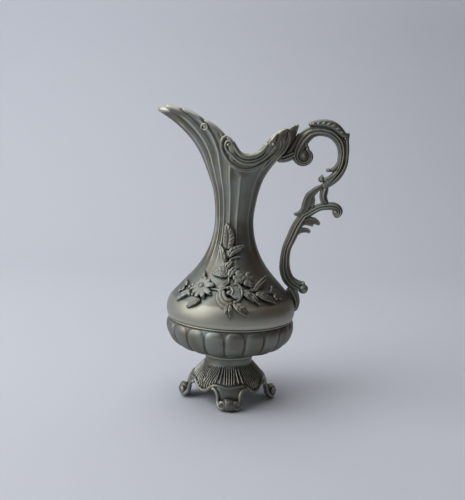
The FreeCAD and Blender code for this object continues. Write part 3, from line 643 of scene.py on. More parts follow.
def mouth_spot(turn, height):
    """Point on the mouth's plain outside."""
    spout, lip, half = ladder(MOUTH, height)
    angle = math.radians(turn)
    return Vector(((lip - spout) / 2 + (lip + spout) / 2 * math.cos(angle),
                   half * math.sin(angle), height))


def mouth_normal(turn, height):
    """Outward direction of the mouth's plain outside."""
    across = mouth_spot(turn + 1.0, height) - mouth_spot(turn - 1.0, height)
    upward = mouth_spot(turn, height + 0.4) - mouth_spot(turn, height - 0.4)
    return across.cross(upward).normalized()


def rim_lobe(turn):
    """Rows of the rim before and after a turn, and the share of the way between them."""
    turn = -abs(turn)
    index = stretch([row[0] for row in RIM], turn)
    before = RIM[index]
    after = RIM[index + 1]
    return before, after, (turn - before[0]) / (after[0] - before[0])


@functools.lru_cache(maxsize=None)
def rim_height(turn):
    """Height of the scalloped rim at a turn."""
    before, after, t = rim_lobe(turn)
    return before[1] + (after[1] - before[1]) * t + before[2] * 4.0 * t * (1.0 - t)


def lobe_share(turn):
    """How far out the rim's lobe swells at a turn: 0 at its notches, 1 in its middle."""
    before, _, t = rim_lobe(turn)
    return 1.0 - abs(2.0 * t - 1.0) ** 2.5 if before[2] > 0.0 else 0.0


def flutes(turn):
    """Relief of neck and mouth at a turn: thin ridges and shallow channels between them."""
    turn = -abs(turn)
    rise = 0.0
    for middle, height in RIDGES:
        rise += height * math.exp(-((turn - middle) / RIDGE_HALF) ** 2)
    for (a, _), (b, _) in zip(RIDGES, RIDGES[1:]):
        if a < turn < b and b - a < CHANNEL_MOST:
            t = (turn - a) / (b - a)
            rise -= CHANNEL_DEPTH * math.sin(math.pi * t) ** 1.2
    return rise


def make_lid(sizes, material):
    """Shoulder, neck and mouth as one closed wall, from the lid's edge up and back down inside."""
    outer = 84
    mouth = 78
    edge = 7
    inside = 40
    neck = 30
    depth = sizes.flute_depth / MM
    wall = sizes.rim_wall / MM
    rows = ([("shoulder", t / outer) for t in range(outer)]
            + [("mouth", t / mouth) for t in range(mouth + 1)]
            + [("edge", t / (edge + 1)) for t in range(1, edge + 1)]
            + [("throat", 1.0 - t / inside) for t in range(inside + 1)]
            + [("hollow", 1.0 - t / neck) for t in range(1, neck + 1)]
            + [("flange", index) for index in range(len(FLANGE))])

    def level(turn, share):
        return NECK[1] + (rim_height(turn) - NECK[1]) * share

    def skin(turn, share):
        height = level(turn, share)
        # flutes run out under the scrolls of the dip, and at the very rim of the spout
        gone = smooth(0.66, 0.78, share) if abs(turn) < SCROLL_TURN else smooth(0.86, 1.0, share)
        lift = depth * flutes(turn) * (1.0 - gone)
        lift += LOBE_SWELL * lobe_share(turn) * smooth(0.55, 0.97, share)
        return mouth_spot(turn, height) + mouth_normal(turn, height) * lift

    def lining(turn, share):
        height = level(turn, share)
        return mouth_spot(turn, height) - mouth_normal(turn, height) * wall

    def place(row, turn):
        kind, share = rows[row]
        angle = math.radians(turn)
        if kind == "shoulder":
            r, z, out, up = shoulder_profile(share)
            # flutes rise out of the plain shoulder between these heights
            lift = depth * flutes(turn) * smooth(70.0, 92.0, z)
            r += out * lift
            z += up * lift
        elif kind == "mouth":
            return skin(turn, share)
        elif kind == "throat":
            return lining(turn, share)
        elif kind == "edge":
            near = skin(turn, 1.0)
            far = lining(turn, 1.0)
            top = rim_height(turn)
            upward = (mouth_spot(turn, top) - mouth_spot(turn, top - 0.5)).normalized()
            swing = math.pi * share
            middle = (near + far) / 2
            return (middle + (near - far) / 2 * math.cos(swing)
                    + upward * (near - far).length / 2 * math.sin(swing))
        elif kind == "hollow":
            r, z, out, up = shoulder_profile(0.03 + 0.97 * share)
            r -= out * LID_WALL
            z -= up * LID_WALL
        else:
            r, rise = FLANGE[share]
            z = LID + rise
        return r * math.cos(angle), r * math.sin(angle), z

    piece = new_piece("ewer_shoulder_and_mouth", turned(len(rows), 360, place), material)
    return finish_surface(piece, 4, 30)


# Scrolls of the mouth's dip: turn, height and half width along each raised band
RIM_ROLL = (
    (-102.0, 143.2, 1.0), (-100.2, 142.0, 1.2), (-98.0, 139.8, 1.3), (-93.1, 137.1, 1.35),
    (-86.4, 135.6, 1.4), (-78.9, 135.2, 1.4), (-71.8, 135.6, 1.4), (-65.4, 136.8, 1.35),
    (-60.9, 138.8, 1.3), (-58.6, 140.9, 1.2), (-57.6, 143.0, 1.0),
)
THIN_SCROLL = (
    (-104.0, 139.4, 0.3), (-100.0, 136.9, 0.5), (-93.2, 134.8, 0.55), (-85.2, 133.5, 0.6),
    (-77.2, 133.2, 0.6), (-67.8, 133.8, 0.6), (-59.6, 135.4, 0.55), (-55.6, 137.6, 0.5),
    (-53.4, 140.0, 0.3),
)
MIDDLE_SCROLL = (
    (-103.3, 140.9, 0.5), (-101.2, 141.8, 0.6), (-102.8, 143.2, 0.75), (-106.6, 143.0, 0.85),
    (-109.4, 140.9, 0.9), (-108.4, 138.4, 0.9), (-103.4, 136.5, 0.85), (-98.8, 134.8, 0.8),
    (-90.7, 132.8, 0.8), (-82.3, 131.8, 0.85), (-74.0, 131.6, 0.85), (-64.2, 132.2, 0.85),
    (-56.0, 134.3, 0.85), (-50.8, 136.9, 0.9), (-47.0, 139.5, 0.9), (-46.6, 142.0, 0.85),
    (-50.6, 144.1, 0.75), (-55.8, 144.2, 0.6), (-56.0, 142.6, 0.5),
)
OUTER_SCROLL = (
    (-104.0, 145.4, 0.7), (-107.2, 145.3, 1.0), (-110.8, 144.1, 1.2), (-113.9, 141.7, 1.25),
    (-114.8, 139.0, 1.2), (-112.6, 136.0, 1.15), (-106.3, 132.6, 1.15), (-98.0, 130.3, 1.2),
    (-86.7, 128.6, 1.3), (-75.4, 128.2, 1.3), (-64.4, 128.8, 1.25), (-54.6, 130.8, 1.15),
    (-47.5, 133.6, 1.05), (-40.9, 136.6, 1.0), (-37.6, 139.6, 0.95), (-38.4, 142.4, 0.85),
    (-42.6, 145.2, 0.6),
)
LIP_RIDGES = (
    ((-48.2, 146.6, 0.5), (-38.4, 145.6, 0.8), (-32.6, 142.4, 0.9), (-31.6, 137.8, 0.8),
     (-36.0, 133.1, 0.6), (-42.0, 128.5, 0.4)),
    ((-32.6, 149.2, 0.5), (-24.0, 145.8, 0.9), (-17.5, 140.6, 0.9), (-16.5, 135.6, 0.7),
     (-20.0, 130.4, 0.4)),
    ((-13.0, 151.4, 0.5), (-5.0, 147.6, 0.8), (-4.0, 142.6, 0.7), (-6.0, 137.0, 0.4)),
)
# eyes of the two volutes: turn and height of each
EYES = ((-105.4, 141.3), (-51.3, 142.6))
EYE_RADIUS = 1.0
# curled end of the spout's third lobe: its place, its reach and what that loses over a full turn
CURL_TURN = -123.8
CURL_HEIGHT = 150.0
CURL_REACH = 1.9
CURL_LOSS = 0.6


def make_scrolls(material):
    """Raised bands, volutes and curls round the mouth, alike on both faces."""
    mesh = bmesh.new()

    def band(rows, lift, depth, along):
        for side in (1.0, -1.0):
            points = []
            for turn, height, half in rows:
                out = mouth_normal(turn * side, height)
                points.append((*(mouth_spot(turn * side, height) + out * lift), half,
                               depth * half))
            plain_rod(mesh, points, out_of_mouth, 16, along)

    def out_of_mouth(spot):
        spout, lip, half = ladder(MOUTH, spot.z)
        x = (spot.x - (lip - spout) / 2) / ((lip + spout) / 2)
        turn = math.degrees(math.atan2(spot.y / half, x))
        return mouth_normal(turn, spot.z)

    band(RIM_ROLL, lift=-0.7, depth=1.1, along=70)
    band(THIN_SCROLL, lift=0.0, depth=1.1, along=90)
    band(MIDDLE_SCROLL, lift=0.1, depth=1.1, along=130)
    band(OUTER_SCROLL, lift=0.0, depth=1.1, along=130)
    for rows in LIP_RIDGES:
        band(rows, lift=-0.1, depth=0.9, along=60)
    for side in (1.0, -1.0):
        for turn, height in EYES:
            spot = mouth_spot(turn * side, height) + mouth_normal(turn * side, height) * 0.3
            ball(mesh, spot, (EYE_RADIUS, EYE_RADIUS, EYE_RADIUS))
        middle = mouth_spot(CURL_TURN * side, CURL_HEIGHT)
        out = mouth_normal(CURL_TURN * side, CURL_HEIGHT)
        across = out.cross(Vector((0, 0, 1))).normalized()
        rise = across.cross(out)
        points = []
        steps = 12
        for step in range(steps + 1):
            turn = math.radians(360.0 * step / steps - 40.0)
            reach = CURL_REACH - CURL_LOSS * step / steps
            spot = middle + across * reach * math.cos(turn) + rise * reach * math.sin(turn)
            points.append((*(spot + out * 0.25), 0.6, 0.7))
        plain_rod(mesh, points, out_of_mouth, 16, 50)
    piece = fused("mouth_scrolls", mesh, material, 0.26, 2)
    return finish_surface(piece, 4, 40)


# Foot: bell profile by share of its run, radius and height, down to the skirt
BELL = (
    (0.00, 13.7, BOWL_SEAT), (0.05, 13.3, 24.5), (0.22, 13.0, 21.6), (0.30, 13.3, 20.2),
    (0.42, 14.6, 18.4), (0.55, 16.2, 16.6), (0.68, 17.8, 14.8), (0.80, 19.1, 13.0),
)
# lower edge of the skirt by the turn from the middle of a pendant
SKIRT = ((0.0, 7.3), (7.0, 7.9), (14.0, 9.9), (20.0, 11.3), (27.0, 11.6), (45.0, 10.5))
SKIRT_FLARE = 1.3
BEAD_RING = 20.3
BEAD_HALF = 1.0
# turn covered by half of a front fan at the top, turn from one side rib to the next
FAN_HALF = 12.5
SIDE_RIB = 4.2
# heights of the fans' top and hem, ribs of a front fan, and how high ribs and S-shaped ridges stand
FAN_TOP = 21.0
FAN_HEM = 10.5
FRONT_RIBS = 5
FRONT_LIFT = 0.95
SIDE_LIFT = 0.7
RIDGE_LIFT = 0.75
RIDGE_TURN = 1.25
# the photograph shows the foot turned a little to the body
FOOT_TURN = 2.5
FOOT_WEB = 22.2
# inside of the bell: radius at its hem, and how much narrower it is under the web
LINING_HEM = 18.6
LINING_LOSS = 7.6
# leg in its own upright plane: distance from the axis, height, half width, half thickness
LEG = (
    (17.2, 14.2, 5.6, 0.8), (19.6, 11.8, 6.6, 1.0), (20.9, 9.2, 6.1, 1.05), (21.3, 6.6, 5.7, 1.1),
    (21.5, 4.4, 5.3, 1.1), (22.3, 2.3, 4.2, 1.15), (24.0, 1.2, 3.1, 1.15), (25.8, 1.9, 2.5, 1.15),
    (26.6, 3.8, 2.3, 1.1), (25.9, 5.7, 2.5, 1.0), (24.2, 6.3, 2.9, 0.95), (22.9, 5.2, 3.3, 0.8),
    (23.2, 3.9, 3.5, 0.7), (24.2, 3.6, 3.5, 0.6),
)
# roll in the curl of a leg: distance from the axis, height, half length and radius
ROLL = (24.2, 3.7, 3.8, 2.35)
# knobs at both ends of the roll
KNOB = (24.6, 4.0)
KNOB_RADIUS = 1.7
BORDER_HALF = 1.05
# raised border of a leg, curling in beside the roll: across, distance from the axis, height
BORDER = (
    (9.4, 18.8, 11.4), (7.3, 20.4, 10.2), (6.2, 21.4, 8.2), (6.0, 21.9, 6.2), (5.9, 22.6, 4.4),
    (5.5, 23.8, 2.8), (4.3, 24.9, 1.9), (2.9, 25.6, 2.6), (2.2, 25.9, 4.2), (2.9, 25.8, 5.3),
    (4.2, 25.4, 5.4), (4.9, 25.2, 4.5), (4.2, 25.4, 3.9),
)


def from_leg(turn):
    """Turn from the middle of the nearest leg, with its sign."""
    return (turn + 45.0) % 90.0 - 45.0


def skirt_edge(turn):
    """Height of the skirt's wavy lower edge at a turn."""
    return ladder(SKIRT, 45.0 - abs(from_leg(turn)))[0]


def fan_relief(turn, height):
    """Fans on the bell: bold ribs in front of a leg, two S-shaped ridges, then fine slanting ribs.

    down is 0 at the fans' top and 1 at their hem, low is the height of the hem.
    """
    away = abs(from_leg(turn))
    down = smooth(FAN_TOP, FAN_HEM, height)
    front = FAN_HALF - 3.0 * down
    if away < front:
        ridge = 0.5 + 0.5 * math.cos(math.pi * FRONT_RIBS * away / front)
        low = 10.2 + 1.6 * (away / front) ** 2
        lift = 0.4 + FRONT_LIFT * (ridge - 0.5)
    else:
        spread = clamp((away - front) / (45.0 - front))
        ridge = 0.5 + 0.5 * math.cos(2 * math.pi * (away - 8.0 * down) / SIDE_RIB)
        # the fine ribs begin beyond the second S-shaped ridge
        fine = smooth(22.0, 25.0, away - 2.5 * down)
        low = 13.0 - 3.4 * smooth(0.25, 0.85, spread)
        lift = 0.35 + SIDE_LIFT * (ridge - 0.5) * fine
        for middle in (14.2 + 1.8 * down, 20.8 + 3.2 * down * down):
            lift += RIDGE_LIFT * math.exp(-((away - middle) / RIDGE_TURN) ** 2)
    # the hem is scalloped with the ribs
    low += 0.6 * (1.0 - ridge)
    return lift * smooth(low - 0.3, low + 0.3, height) * smooth(22.2, 18.8, height)


def make_bell():
    """Bell of the foot with its fans, as a closed wall."""
    outer = 60
    skirt = 26
    inner = 24
    rows = ([("bell", t / outer) for t in range(outer)]
            + [("skirt", t / skirt) for t in range(skirt + 1)]
            + [("lining", t / inner) for t in range(inner + 1)]
            + [("web", 0), ("web", 1), ("web", 2)])
    web = ((10.9, FOOT_WEB), (SCREW_HOLE, FOOT_WEB), (SCREW_HOLE, BOWL_SEAT))
    last = BELL[-1]

    def place(row, turn):
        kind, share = rows[row]
        angle = math.radians(turn)
        edge = skirt_edge(turn)
        if kind == "bell":
            r, z = ladder(BELL, share * last[0])
            r2, z2 = ladder(BELL, share * last[0] + 0.01)
            run = math.hypot(r2 - r, z2 - z) or 1.0
            lift = fan_relief(turn, z)
            out = (z - z2) / run
            up = (r2 - r) / run
            r += out * lift
            z += up * lift
        elif kind == "skirt":
            z = last[2] + (edge - last[2]) * share
            r = last[1] + SKIRT_FLARE * share + fan_relief(turn, z)
        elif kind == "lining":
            low = edge + 0.1
            z = low + (FOOT_WEB - low) * share
            r = LINING_HEM - LINING_LOSS * smooth(9.0, FOOT_WEB, z)
        else:
            r, z = web[share]
        return r * math.cos(angle), r * math.sin(angle), z

    return turned(len(rows), 720, place)


def make_foot(material):
    """Bell, beaded hem and four legs, each with a roll, two raised borders and two knobs."""
    mesh = bmesh.new()
    roll_out, roll_height, roll_half, roll_radius = ROLL
    for index in range(4):
        turn = math.radians(90.0 * index)
        out = Vector((math.cos(turn), math.sin(turn), 0.0))
        side = Vector((-math.sin(turn), math.cos(turn), 0.0))
        track = Track([(*(out * r + Vector((0, 0, z))), half, thick)
                       for r, z, half, thick in LEG])

        def section(share, angle, extra):
            half, thick = extra
            cap = rounded(share, track.length, thick)
            body = math.copysign(abs(math.cos(angle)) ** 0.7, math.cos(angle))
            return thick * cap * body, half * math.sin(angle) * (0.4 + 0.6 * cap)

        rod(mesh, track, lambda spot: side, section, 44, 90)
        middle = out * roll_out + Vector((0, 0, roll_height))
        roll = Track([middle + side * reach for reach in (-roll_half, 0.0, roll_half)])

        def barrel(share, angle, extra):
            wide = roll_radius * rounded(share, roll.length, 0.6)
            return wide * math.cos(angle), wide * math.sin(angle)

        rod(mesh, roll, lambda spot: out, barrel, 32, 24)
        for sign in (1.0, -1.0):
            points = [(*(side * sign * across + out * r + Vector((0, 0, z))), BORDER_HALF, BORDER_HALF)
                      for across, r, z in BORDER]
            plain_rod(mesh, points, lambda spot: out, 18, 80)
            knob = side * sign * roll_half + out * KNOB[0] + Vector((0, 0, KNOB[1]))
            ball(mesh, knob, (KNOB_RADIUS, KNOB_RADIUS, KNOB_RADIUS))
    # rolled bead along the wavy lower edge of the skirt
    points = []
    for step in range(0, 364, 3):
        turn = math.radians(step)
        points.append((BEAD_RING * math.cos(turn), BEAD_RING * math.sin(turn),
                       skirt_edge(step) + 0.8, BEAD_HALF, BEAD_HALF))
    plain_rod(mesh, points, lambda spot: Vector((0, 0, 1)), 14, 420)
    # the bell comes last: unit_ball counts on a mesh from which nothing was deleted
    bell = make_bell()
    data = bpy.data.meshes.new("bell")
    bell.to_mesh(data)
    bell.free()
    mesh.from_mesh(data)
    bpy.data.meshes.remove(data)
    bmesh.ops.rotate(mesh, verts=mesh.verts, cent=(0, 0, 0),
                     matrix=Matrix.Rotation(math.radians(FOOT_TURN), 3, "Z"))
    piece = fused("scrolled_foot", mesh, material, 0.24, 2)
    for vert in piece.data.vertices:
        vert.co.z = max(vert.co.z, 0.0)
    return thinned(finish_surface(piece, 4, 40))


# Handle, drawn in the plane of the spout and the lip: x, z and half width of each band
MAIN_SCROLL = (
    (37.4, 140.0, 0.9), (39.2, 138.6, 1.2), (39.8, 136.4, 1.4), (38.7, 134.0, 1.45),
    (36.0, 132.8, 1.5), (33.4, 133.7, 1.7), (31.8, 136.0, 2.0), (32.0, 138.6, 2.4),
    (33.0, 141.6, 3.2), (35.2, 145.5, 3.5), (38.7, 149.0, 3.2), (42.9, 150.3, 2.7),
    (47.6, 150.0, 2.55), (51.0, 148.7, 2.55), (53.8, 146.4, 2.5), (55.7, 143.3, 2.35),
    (56.5, 139.3, 2.1), (56.3, 135.3, 1.9), (55.4, 131.5, 1.6), (53.9, 128.2, 1.3),
    (51.5, 125.0, 1.25), (48.6, 122.2, 1.3), (46.6, 120.6, 1.3),
)
OUTER_STRAP = (
    (59.5, 150.3, 0.7), (59.0, 148.6, 1.05), (58.8, 145.9, 1.05), (59.3, 142.1, 1.0),
    (59.4, 138.1, 0.95), (59.1, 133.9, 1.0), (58.1, 130.5, 1.1), (56.3, 127.2, 1.2),
    (54.0, 124.5, 1.3), (51.4, 122.6, 1.4), (48.7, 121.1, 1.5), (46.8, 120.5, 1.4),
)
TOP_LEAF = (
    (37.7, 153.5, 0.8), (39.4, 153.9, 1.3), (43.1, 154.5, 1.8), (46.6, 154.6, 2.15),
    (49.6, 154.0, 2.3), (52.5, 152.6, 2.3), (55.1, 150.3, 2.1), (57.2, 148.6, 1.6),
    (59.0, 149.8, 0.9),
)
BANDS = (
    # rows, half depth, grooves
    (MAIN_SCROLL, 2.9, 3),
    (OUTER_STRAP, 2.5, 0),
    (TOP_LEAF, 2.8, 0),
    # hook inside the scroll, and the two curls at its lower end
    (((39.9, 147.0, 0.6), (37.9, 145.2, 0.8), (37.1, 143.3, 0.85), (37.6, 141.8, 0.8),
      (38.8, 141.0, 0.55)), 2.7, 0),
    (((55.0, 134.2, 0.9), (54.0, 131.8, 1.1), (52.0, 130.1, 1.05), (49.6, 129.5, 0.95)), 2.5, 0),
    (((54.0, 129.6, 0.9), (52.2, 126.8, 1.15), (49.8, 125.0, 1.25), (47.2, 124.2, 1.4)), 2.6, 0),
    # left branch below the waist, ending in a leaf tip
    (((47.5, 120.7, 1.4), (44.6, 119.5, 1.5), (42.3, 117.4, 1.9), (40.3, 115.0, 2.3),
      (39.0, 110.6, 2.5), (37.6, 107.4, 1.9), (35.0, 105.4, 1.3), (32.2, 105.3, 0.8)), 2.7, 1),
    (((41.6, 116.4, 1.0), (42.3, 113.7, 1.3), (41.9, 111.2, 1.5), (41.0, 109.2, 1.3)), 2.8, 1),
    # right branch
    (((49.0, 121.0, 2.1), (48.2, 118.0, 2.1), (47.9, 115.6, 2.05), (48.6, 113.1, 2.0),
      (50.3, 111.6, 1.8)), 2.7, 2),
    # lower scroll and its curled end
    (((37.2, 103.5, 2.3), (39.3, 105.2, 2.3), (42.4, 107.3, 2.1), (45.9, 109.3, 2.0),
      (49.9, 110.2, 2.1), (53.5, 110.3, 2.3), (56.2, 109.3, 2.0), (57.2, 107.1, 1.7),
      (55.9, 105.3, 1.4), (54.2, 105.9, 1.0)), 2.8, 3),
    # sprigs on the outside of the stem
    (((35.5, 100.3, 2.0), (38.2, 101.1, 1.9), (40.9, 102.0, 1.9), (43.6, 102.0, 1.75),
      (45.8, 100.6, 1.3), (46.2, 99.4, 0.9)), 2.5, 1),
    (((39.4, 100.6, 1.3), (41.9, 100.1, 1.1), (43.2, 98.9, 0.8)), 2.3, 0),
    (((33.4, 94.7, 2.2), (35.7, 96.1, 1.7), (38.4, 96.6, 1.35), (40.3, 96.4, 1.25),
      (41.9, 95.2, 0.9)), 2.4, 1),
    # reeded stem, turning outwards at its foot
    (((39.3, 105.9, 2.0), (37.2, 103.5, 2.4), (34.3, 98.4, 2.75), (31.8, 92.3, 2.7),
      (29.6, 86.7, 2.5), (28.8, 81.1, 2.65), (28.9, 75.5, 2.95), (30.0, 71.3, 3.15),
      (32.0, 67.9, 3.1), (35.1, 65.5, 2.7), (38.4, 64.2, 2.5)), 3.0, 3),
    (((31.4, 72.5, 0.8), (33.6, 69.4, 1.1), (36.4, 67.5, 1.2), (39.0, 66.9, 1.15)), 2.6, 0),
    # tail that lies down the shoulder
    (((31.6, 64.6, 2.8), (33.6, 61.8, 3.1), (35.1, 59.1, 2.8), (36.1, 56.1, 2.2),
      (36.0, 52.8, 1.5), (35.2, 50.8, 0.7)), 2.6, 2),
    # web between the scroll and the lip
    (((26.6, 137.0, 1.3), (28.5, 139.4, 1.4), (30.4, 142.8, 1.3), (32.2, 146.6, 1.1),
      (33.4, 149.0, 0.6)), 2.3, 0),
    # leaf bracket under the lip
    (((21.8, 135.6, 1.4), (23.9, 135.0, 2.2), (26.6, 135.8, 2.7), (29.6, 137.1, 2.6),
      (32.2, 138.2, 2.1)), 2.8, 3),
)


# disc behind the eye of the main scroll, then eyes and knobs: x, z, radius and half depth
SCROLL_DISC = (36.0, 136.7, 4.2, 2.0)
KNOBS = (
    (36.0, 136.8, 2.0, 3.0), (55.3, 107.0, 2.0, 2.4), (39.8, 63.7, 2.8, 3.0), (39.4, 66.8, 1.25, 2.6),
    (46.3, 124.7, 1.75, 2.8), (46.6, 126.5, 0.75, 2.2), (49.6, 129.7, 1.1, 2.5), (57.9, 146.9, 1.2, 2.3),
    (23.4, 134.4, 1.7, 2.8), (37.7, 140.5, 1.3, 2.4),
)
# strands that wind over the leaf on top: number, share of the first and step to the next
STRANDS = 7
STRAND_FIRST = 0.1
STRAND_STEP = 0.118


def across_handle(spot):
    """Direction of the handle's depth, alike at every point."""
    return Vector((0.0, 1.0, 0.0))


def reeded(mesh, rows, depth, grooves):
    """Band in the handle's plane, with lengthwise grooves on both faces."""
    track = Track([(x, 0.0, z, half) for x, z, half in rows])

    def section(share, angle, extra):
        half = extra[0]
        cap = rounded(share, track.length, half)
        wide = math.copysign(abs(math.cos(angle)) ** 0.85, math.cos(angle))
        tall = math.copysign(abs(math.sin(angle)) ** 0.6, math.sin(angle))
        if grooves:
            tall *= 1.0 - 0.26 * (0.5 - 0.5 * math.cos(math.pi * grooves * (wide + 1.0)))
        keep = 0.55 + 0.45 * min(half / 1.6, 1.0)
        return wide * half * cap, tall * depth * keep * (0.3 + 0.7 * cap)

    return rod(mesh, track, across_handle, section, 48, max(30, int(track.length * 2.2)))


def make_handle(material):
    """Reeded bands, eyes and knobs melted into one openwork casting."""
    mesh = bmesh.new()
    for rows, depth, grooves in BANDS:
        reeded(mesh, rows, depth, grooves)
    x, z, radius, depth = SCROLL_DISC
    ball(mesh, (x, 0.0, z), (radius, depth, radius), 32)
    for x, z, radius, depth in KNOBS:
        ball(mesh, (x, 0.0, z), (radius, depth, radius), 24)
    leaf = Track([(x, 0.0, z, half) for x, z, half in TOP_LEAF])
    for index in range(STRANDS):
        share = STRAND_FIRST + STRAND_STEP * index
        x, _, z, half = leaf.at(share)
        run = leaf.along(share)
        lean = Vector((run.x - 0.9 * run.z, 0.0, run.z + 0.9 * run.x)).normalized() * half * 0.85
        plain_rod(mesh, [(x - lean.x, 0.0, z - lean.z, 0.8, 2.7),
                         (x, 0.0, z, 1.0, 3.25),
                         (x + lean.x, 0.0, z + lean.z, 0.7, 2.6)], across_handle, 20, 20)
    piece = fused("scrolled_handle", mesh, material, 0.2, 2)
    return thinned(finish_surface(piece, 4, 40))


# Flower spray, by degrees from the show face towards the handle, and height
def shoulder_at(height):
    """Radius of the shoulder and its normal's reach outwards and upwards."""
    cx, cz, swell = SHOULDER
    nx, nz, sweep = NECK
    flank = math.radians(FLANK)
    start = cz + swell * math.sin(flank)
    end = nz - sweep * math.sin(flank)
    if height <= start:
        turn = math.asin(clamp((height - cz) / swell, -1.0, 1.0))
        return cx + swell * math.cos(turn), math.cos(turn), math.sin(turn)
    if height >= end:
        turn = math.asin(clamp((nz - height) / sweep))
        return nx - sweep * math.cos(turn), math.cos(turn), math.sin(turn)
    low = cx + swell * math.cos(flank)
    high = nx - sweep * math.cos(flank)
    part = (height - start) / (end - start)
    return low + (high - low) * part, math.cos(flank), math.sin(flank)


def on_shoulder(turn, height, lift):
    """Point above the shoulder, by degrees from the show face."""
    r, out, up = shoulder_at(height)
    angle = math.radians(turn - 90.0)
    r += out * lift
    return Vector((r * math.cos(angle), r * math.sin(angle), height + up * lift))


def out_of_shoulder(spot):
    """Outward direction of the shoulder near a point."""
    _, out, up = shoulder_at(spot.z)
    flat = Vector((spot.x, spot.y, 0.0)).normalized()
    return flat * out + Vector((0.0, 0.0, up))


def leaf_outline(share):
    """Share of a leaf's half width along its length: pointed at both ends."""
    return max(math.sin(math.pi * share ** 0.78), 0.0) ** 0.8


def petal_outline(share):
    """Share of a petal's half width along its length: narrow at the heart, round at the tip."""
    return (0.25 + 0.75 * smooth(0.0, 0.6, share)) * math.sqrt(max(1.0 - share ** 5, 0.0))


def leaf_veins(count):
    """Depth of a leaf's midrib and of a number of side veins that run forwards from it."""
    def depth(share, wide):
        middle = math.exp(-(wide / 0.17) ** 2)
        side = 0.5 + 0.5 * math.cos(2 * math.pi * (count * share - 0.9 * abs(wide)))
        return 0.42 * middle + 0.2 * side * (1.0 - middle) * smooth(0.95, 0.6, abs(wide))
    return depth


def fan_veins(count):
    """Depth of a number of channels along an open petal."""
    return lambda share, wide: 0.28 * (0.5 - 0.5 * math.cos(math.pi * count * (wide + 1.0)))


# how deep blades reach into the shoulder
BLADE_ROOT = 1.4


def blade(mesh, points, half, edge, crown, veins, outline):
    """Leaf or petal through points of turn, height and lift, lying on the shoulder.

    half is its half width, edge the height of its border, and crown what its middle adds to that.
    """
    track = Track([on_shoulder(*point) for point in points])

    def section(share, angle, extra):
        wide = math.cos(angle)
        tall = math.sin(angle)
        ends = smooth(0.0, 0.1, share) * (1.0 - 0.6 * smooth(0.86, 1.0, share))
        if tall < 0.0:
            rise = edge * ends + tall * (edge * ends + BLADE_ROOT)
        else:
            rise = ends * (edge + crown * tall ** 0.8 - (veins(share, wide) if veins else 0.0))
        return wide * half * outline(share), rise

    return rod(mesh, track, out_of_shoulder, section, 44, 44)


# leaves: points as turn and height, then half width and how richly each is veined
LEAVES = (
    (((-12.1, 85.4), (-11.2, 89.1), (-10.9, 92.8), (-15.5, 96.5), (-22.6, 100.2)), 3.2, 4),
    (((-12.6, 79.0), (-18.8, 82.6), (-24.5, 85.6), (-34.6, 88.6)), 1.5, 2),
    (((-9.0, 81.6), (-1.6, 84.9), (9.7, 86.5), (20.5, 87.8), (27.0, 87.2)), 1.9, 3),
    (((-11.0, 76.2), (-5.4, 78.4), (-0.2, 80.4)), 1.6, 2),
    (((-4.2, 72.8), (-13.0, 74.3), (-21.2, 74.1), (-29.6, 72.7)), 3.3, 4),
    (((-4.6, 72.0), (0.9, 75.3), (12.8, 78.0)), 1.8, 2),
    (((-39.2, 69.2), (-42.4, 72.1), (-52.8, 74.6)), 1.3, 1),
    (((-46.4, 63.7), (-53.1, 61.2), (-57.4, 57.8)), 1.9, 2),
    (((-29.6, 61.4), (-35.8, 59.0), (-41.0, 56.4)), 1.9, 2),
    (((11.0, 66.2), (16.9, 64.4), (22.2, 61.3)), 2.0, 2),
    (((19.2, 65.4), (23.3, 62.7), (26.8, 59.8)), 1.5, 1),
    (((25.2, 64.9), (34.6, 63.1), (46.0, 59.7)), 2.2, 3),
    (((-1.6, 60.4), (-2.2, 57.3), (-0.6, 53.8)), 2.2, 2),
    (((2.0, 61.2), (9.0, 58.2), (16.2, 54.9)), 2.4, 3),
    (((-15.0, 66.8), (-8.6, 68.5), (-1.4, 70.3)), 1.3, 1),
    (((-15.4, 65.6), (-8.5, 67.0), (-3.6, 68.0)), 1.1, 1),
    (((-58.0, 65.4), (-64.0, 66.6), (-71.0, 68.0)), 1.1, 1),
    (((24.0, 65.8), (33.1, 68.1), (43.0, 69.9), (61.0, 72.0)), 1.7, 1),
)
SIDE_VEINS = 1.9
LEAF_EDGE = 0.75
LEAF_CROWN = 0.75
STEM_HALF = 0.75
STEM_DEPTH = 0.9
STEMS = (
    ((-4.1, 69.0), (-4.4, 72.9), (-7.3, 75.3), (-11.4, 77.8), (-11.5, 80.9), (-11.6, 86.0)),
    ((-30.0, 66.7), (-23.0, 66.6), (-14.0, 66.4)),
    ((-6.7, 79.6), (-2.1, 81.3), (6.6, 82.3), (16.5, 82.5)),
    ((9.0, 66.6), (18.0, 66.5), (27.0, 66.2), (40.0, 65.2), (52.0, 64.2)),
    ((20.7, 71.1), (22.0, 68.6), (25.0, 66.2)),
)
# heart's turn and height, its size, the petals' half width, and the tips of the petals
BLOSSOMS = (
    (-34.6, 66.7, 2.0, 1.55, ((-46.4, 67.6), (-43.2, 70.2), (-35.6, 71.0), (-27.2, 70.2),
                              (-19.2, 68.2), (-20.6, 63.8), (-27.2, 61.8), (-34.8, 61.2),
                              (-41.6, 63.0), (-46.8, 65.2))),
    (7.6, 71.9, 1.2, 1.5, ((1.8, 71.9), (9.4, 75.6), (15.0, 73.4), (13.4, 69.4), (6.0, 68.8))),
    (20.7, 71.2, 1.2, 1.6, ((25.0, 74.6), (30.4, 71.8), (23.6, 67.4), (16.2, 68.2),
                             (13.6, 72.0))),
    (-65.7, 64.6, 0.6, 1.4, ((-72.6, 63.6), (-70.0, 66.8), (-61.4, 66.6), (-59.6, 63.2),
                              (-65.4, 61.6))),
    (52.8, 64.0, 0.6, 1.6, ((46.8, 65.6), (54.4, 67.4), (59.8, 64.4), (56.8, 60.8), (48.4, 61.2))),
)
BUD_RADIUS = 1.05
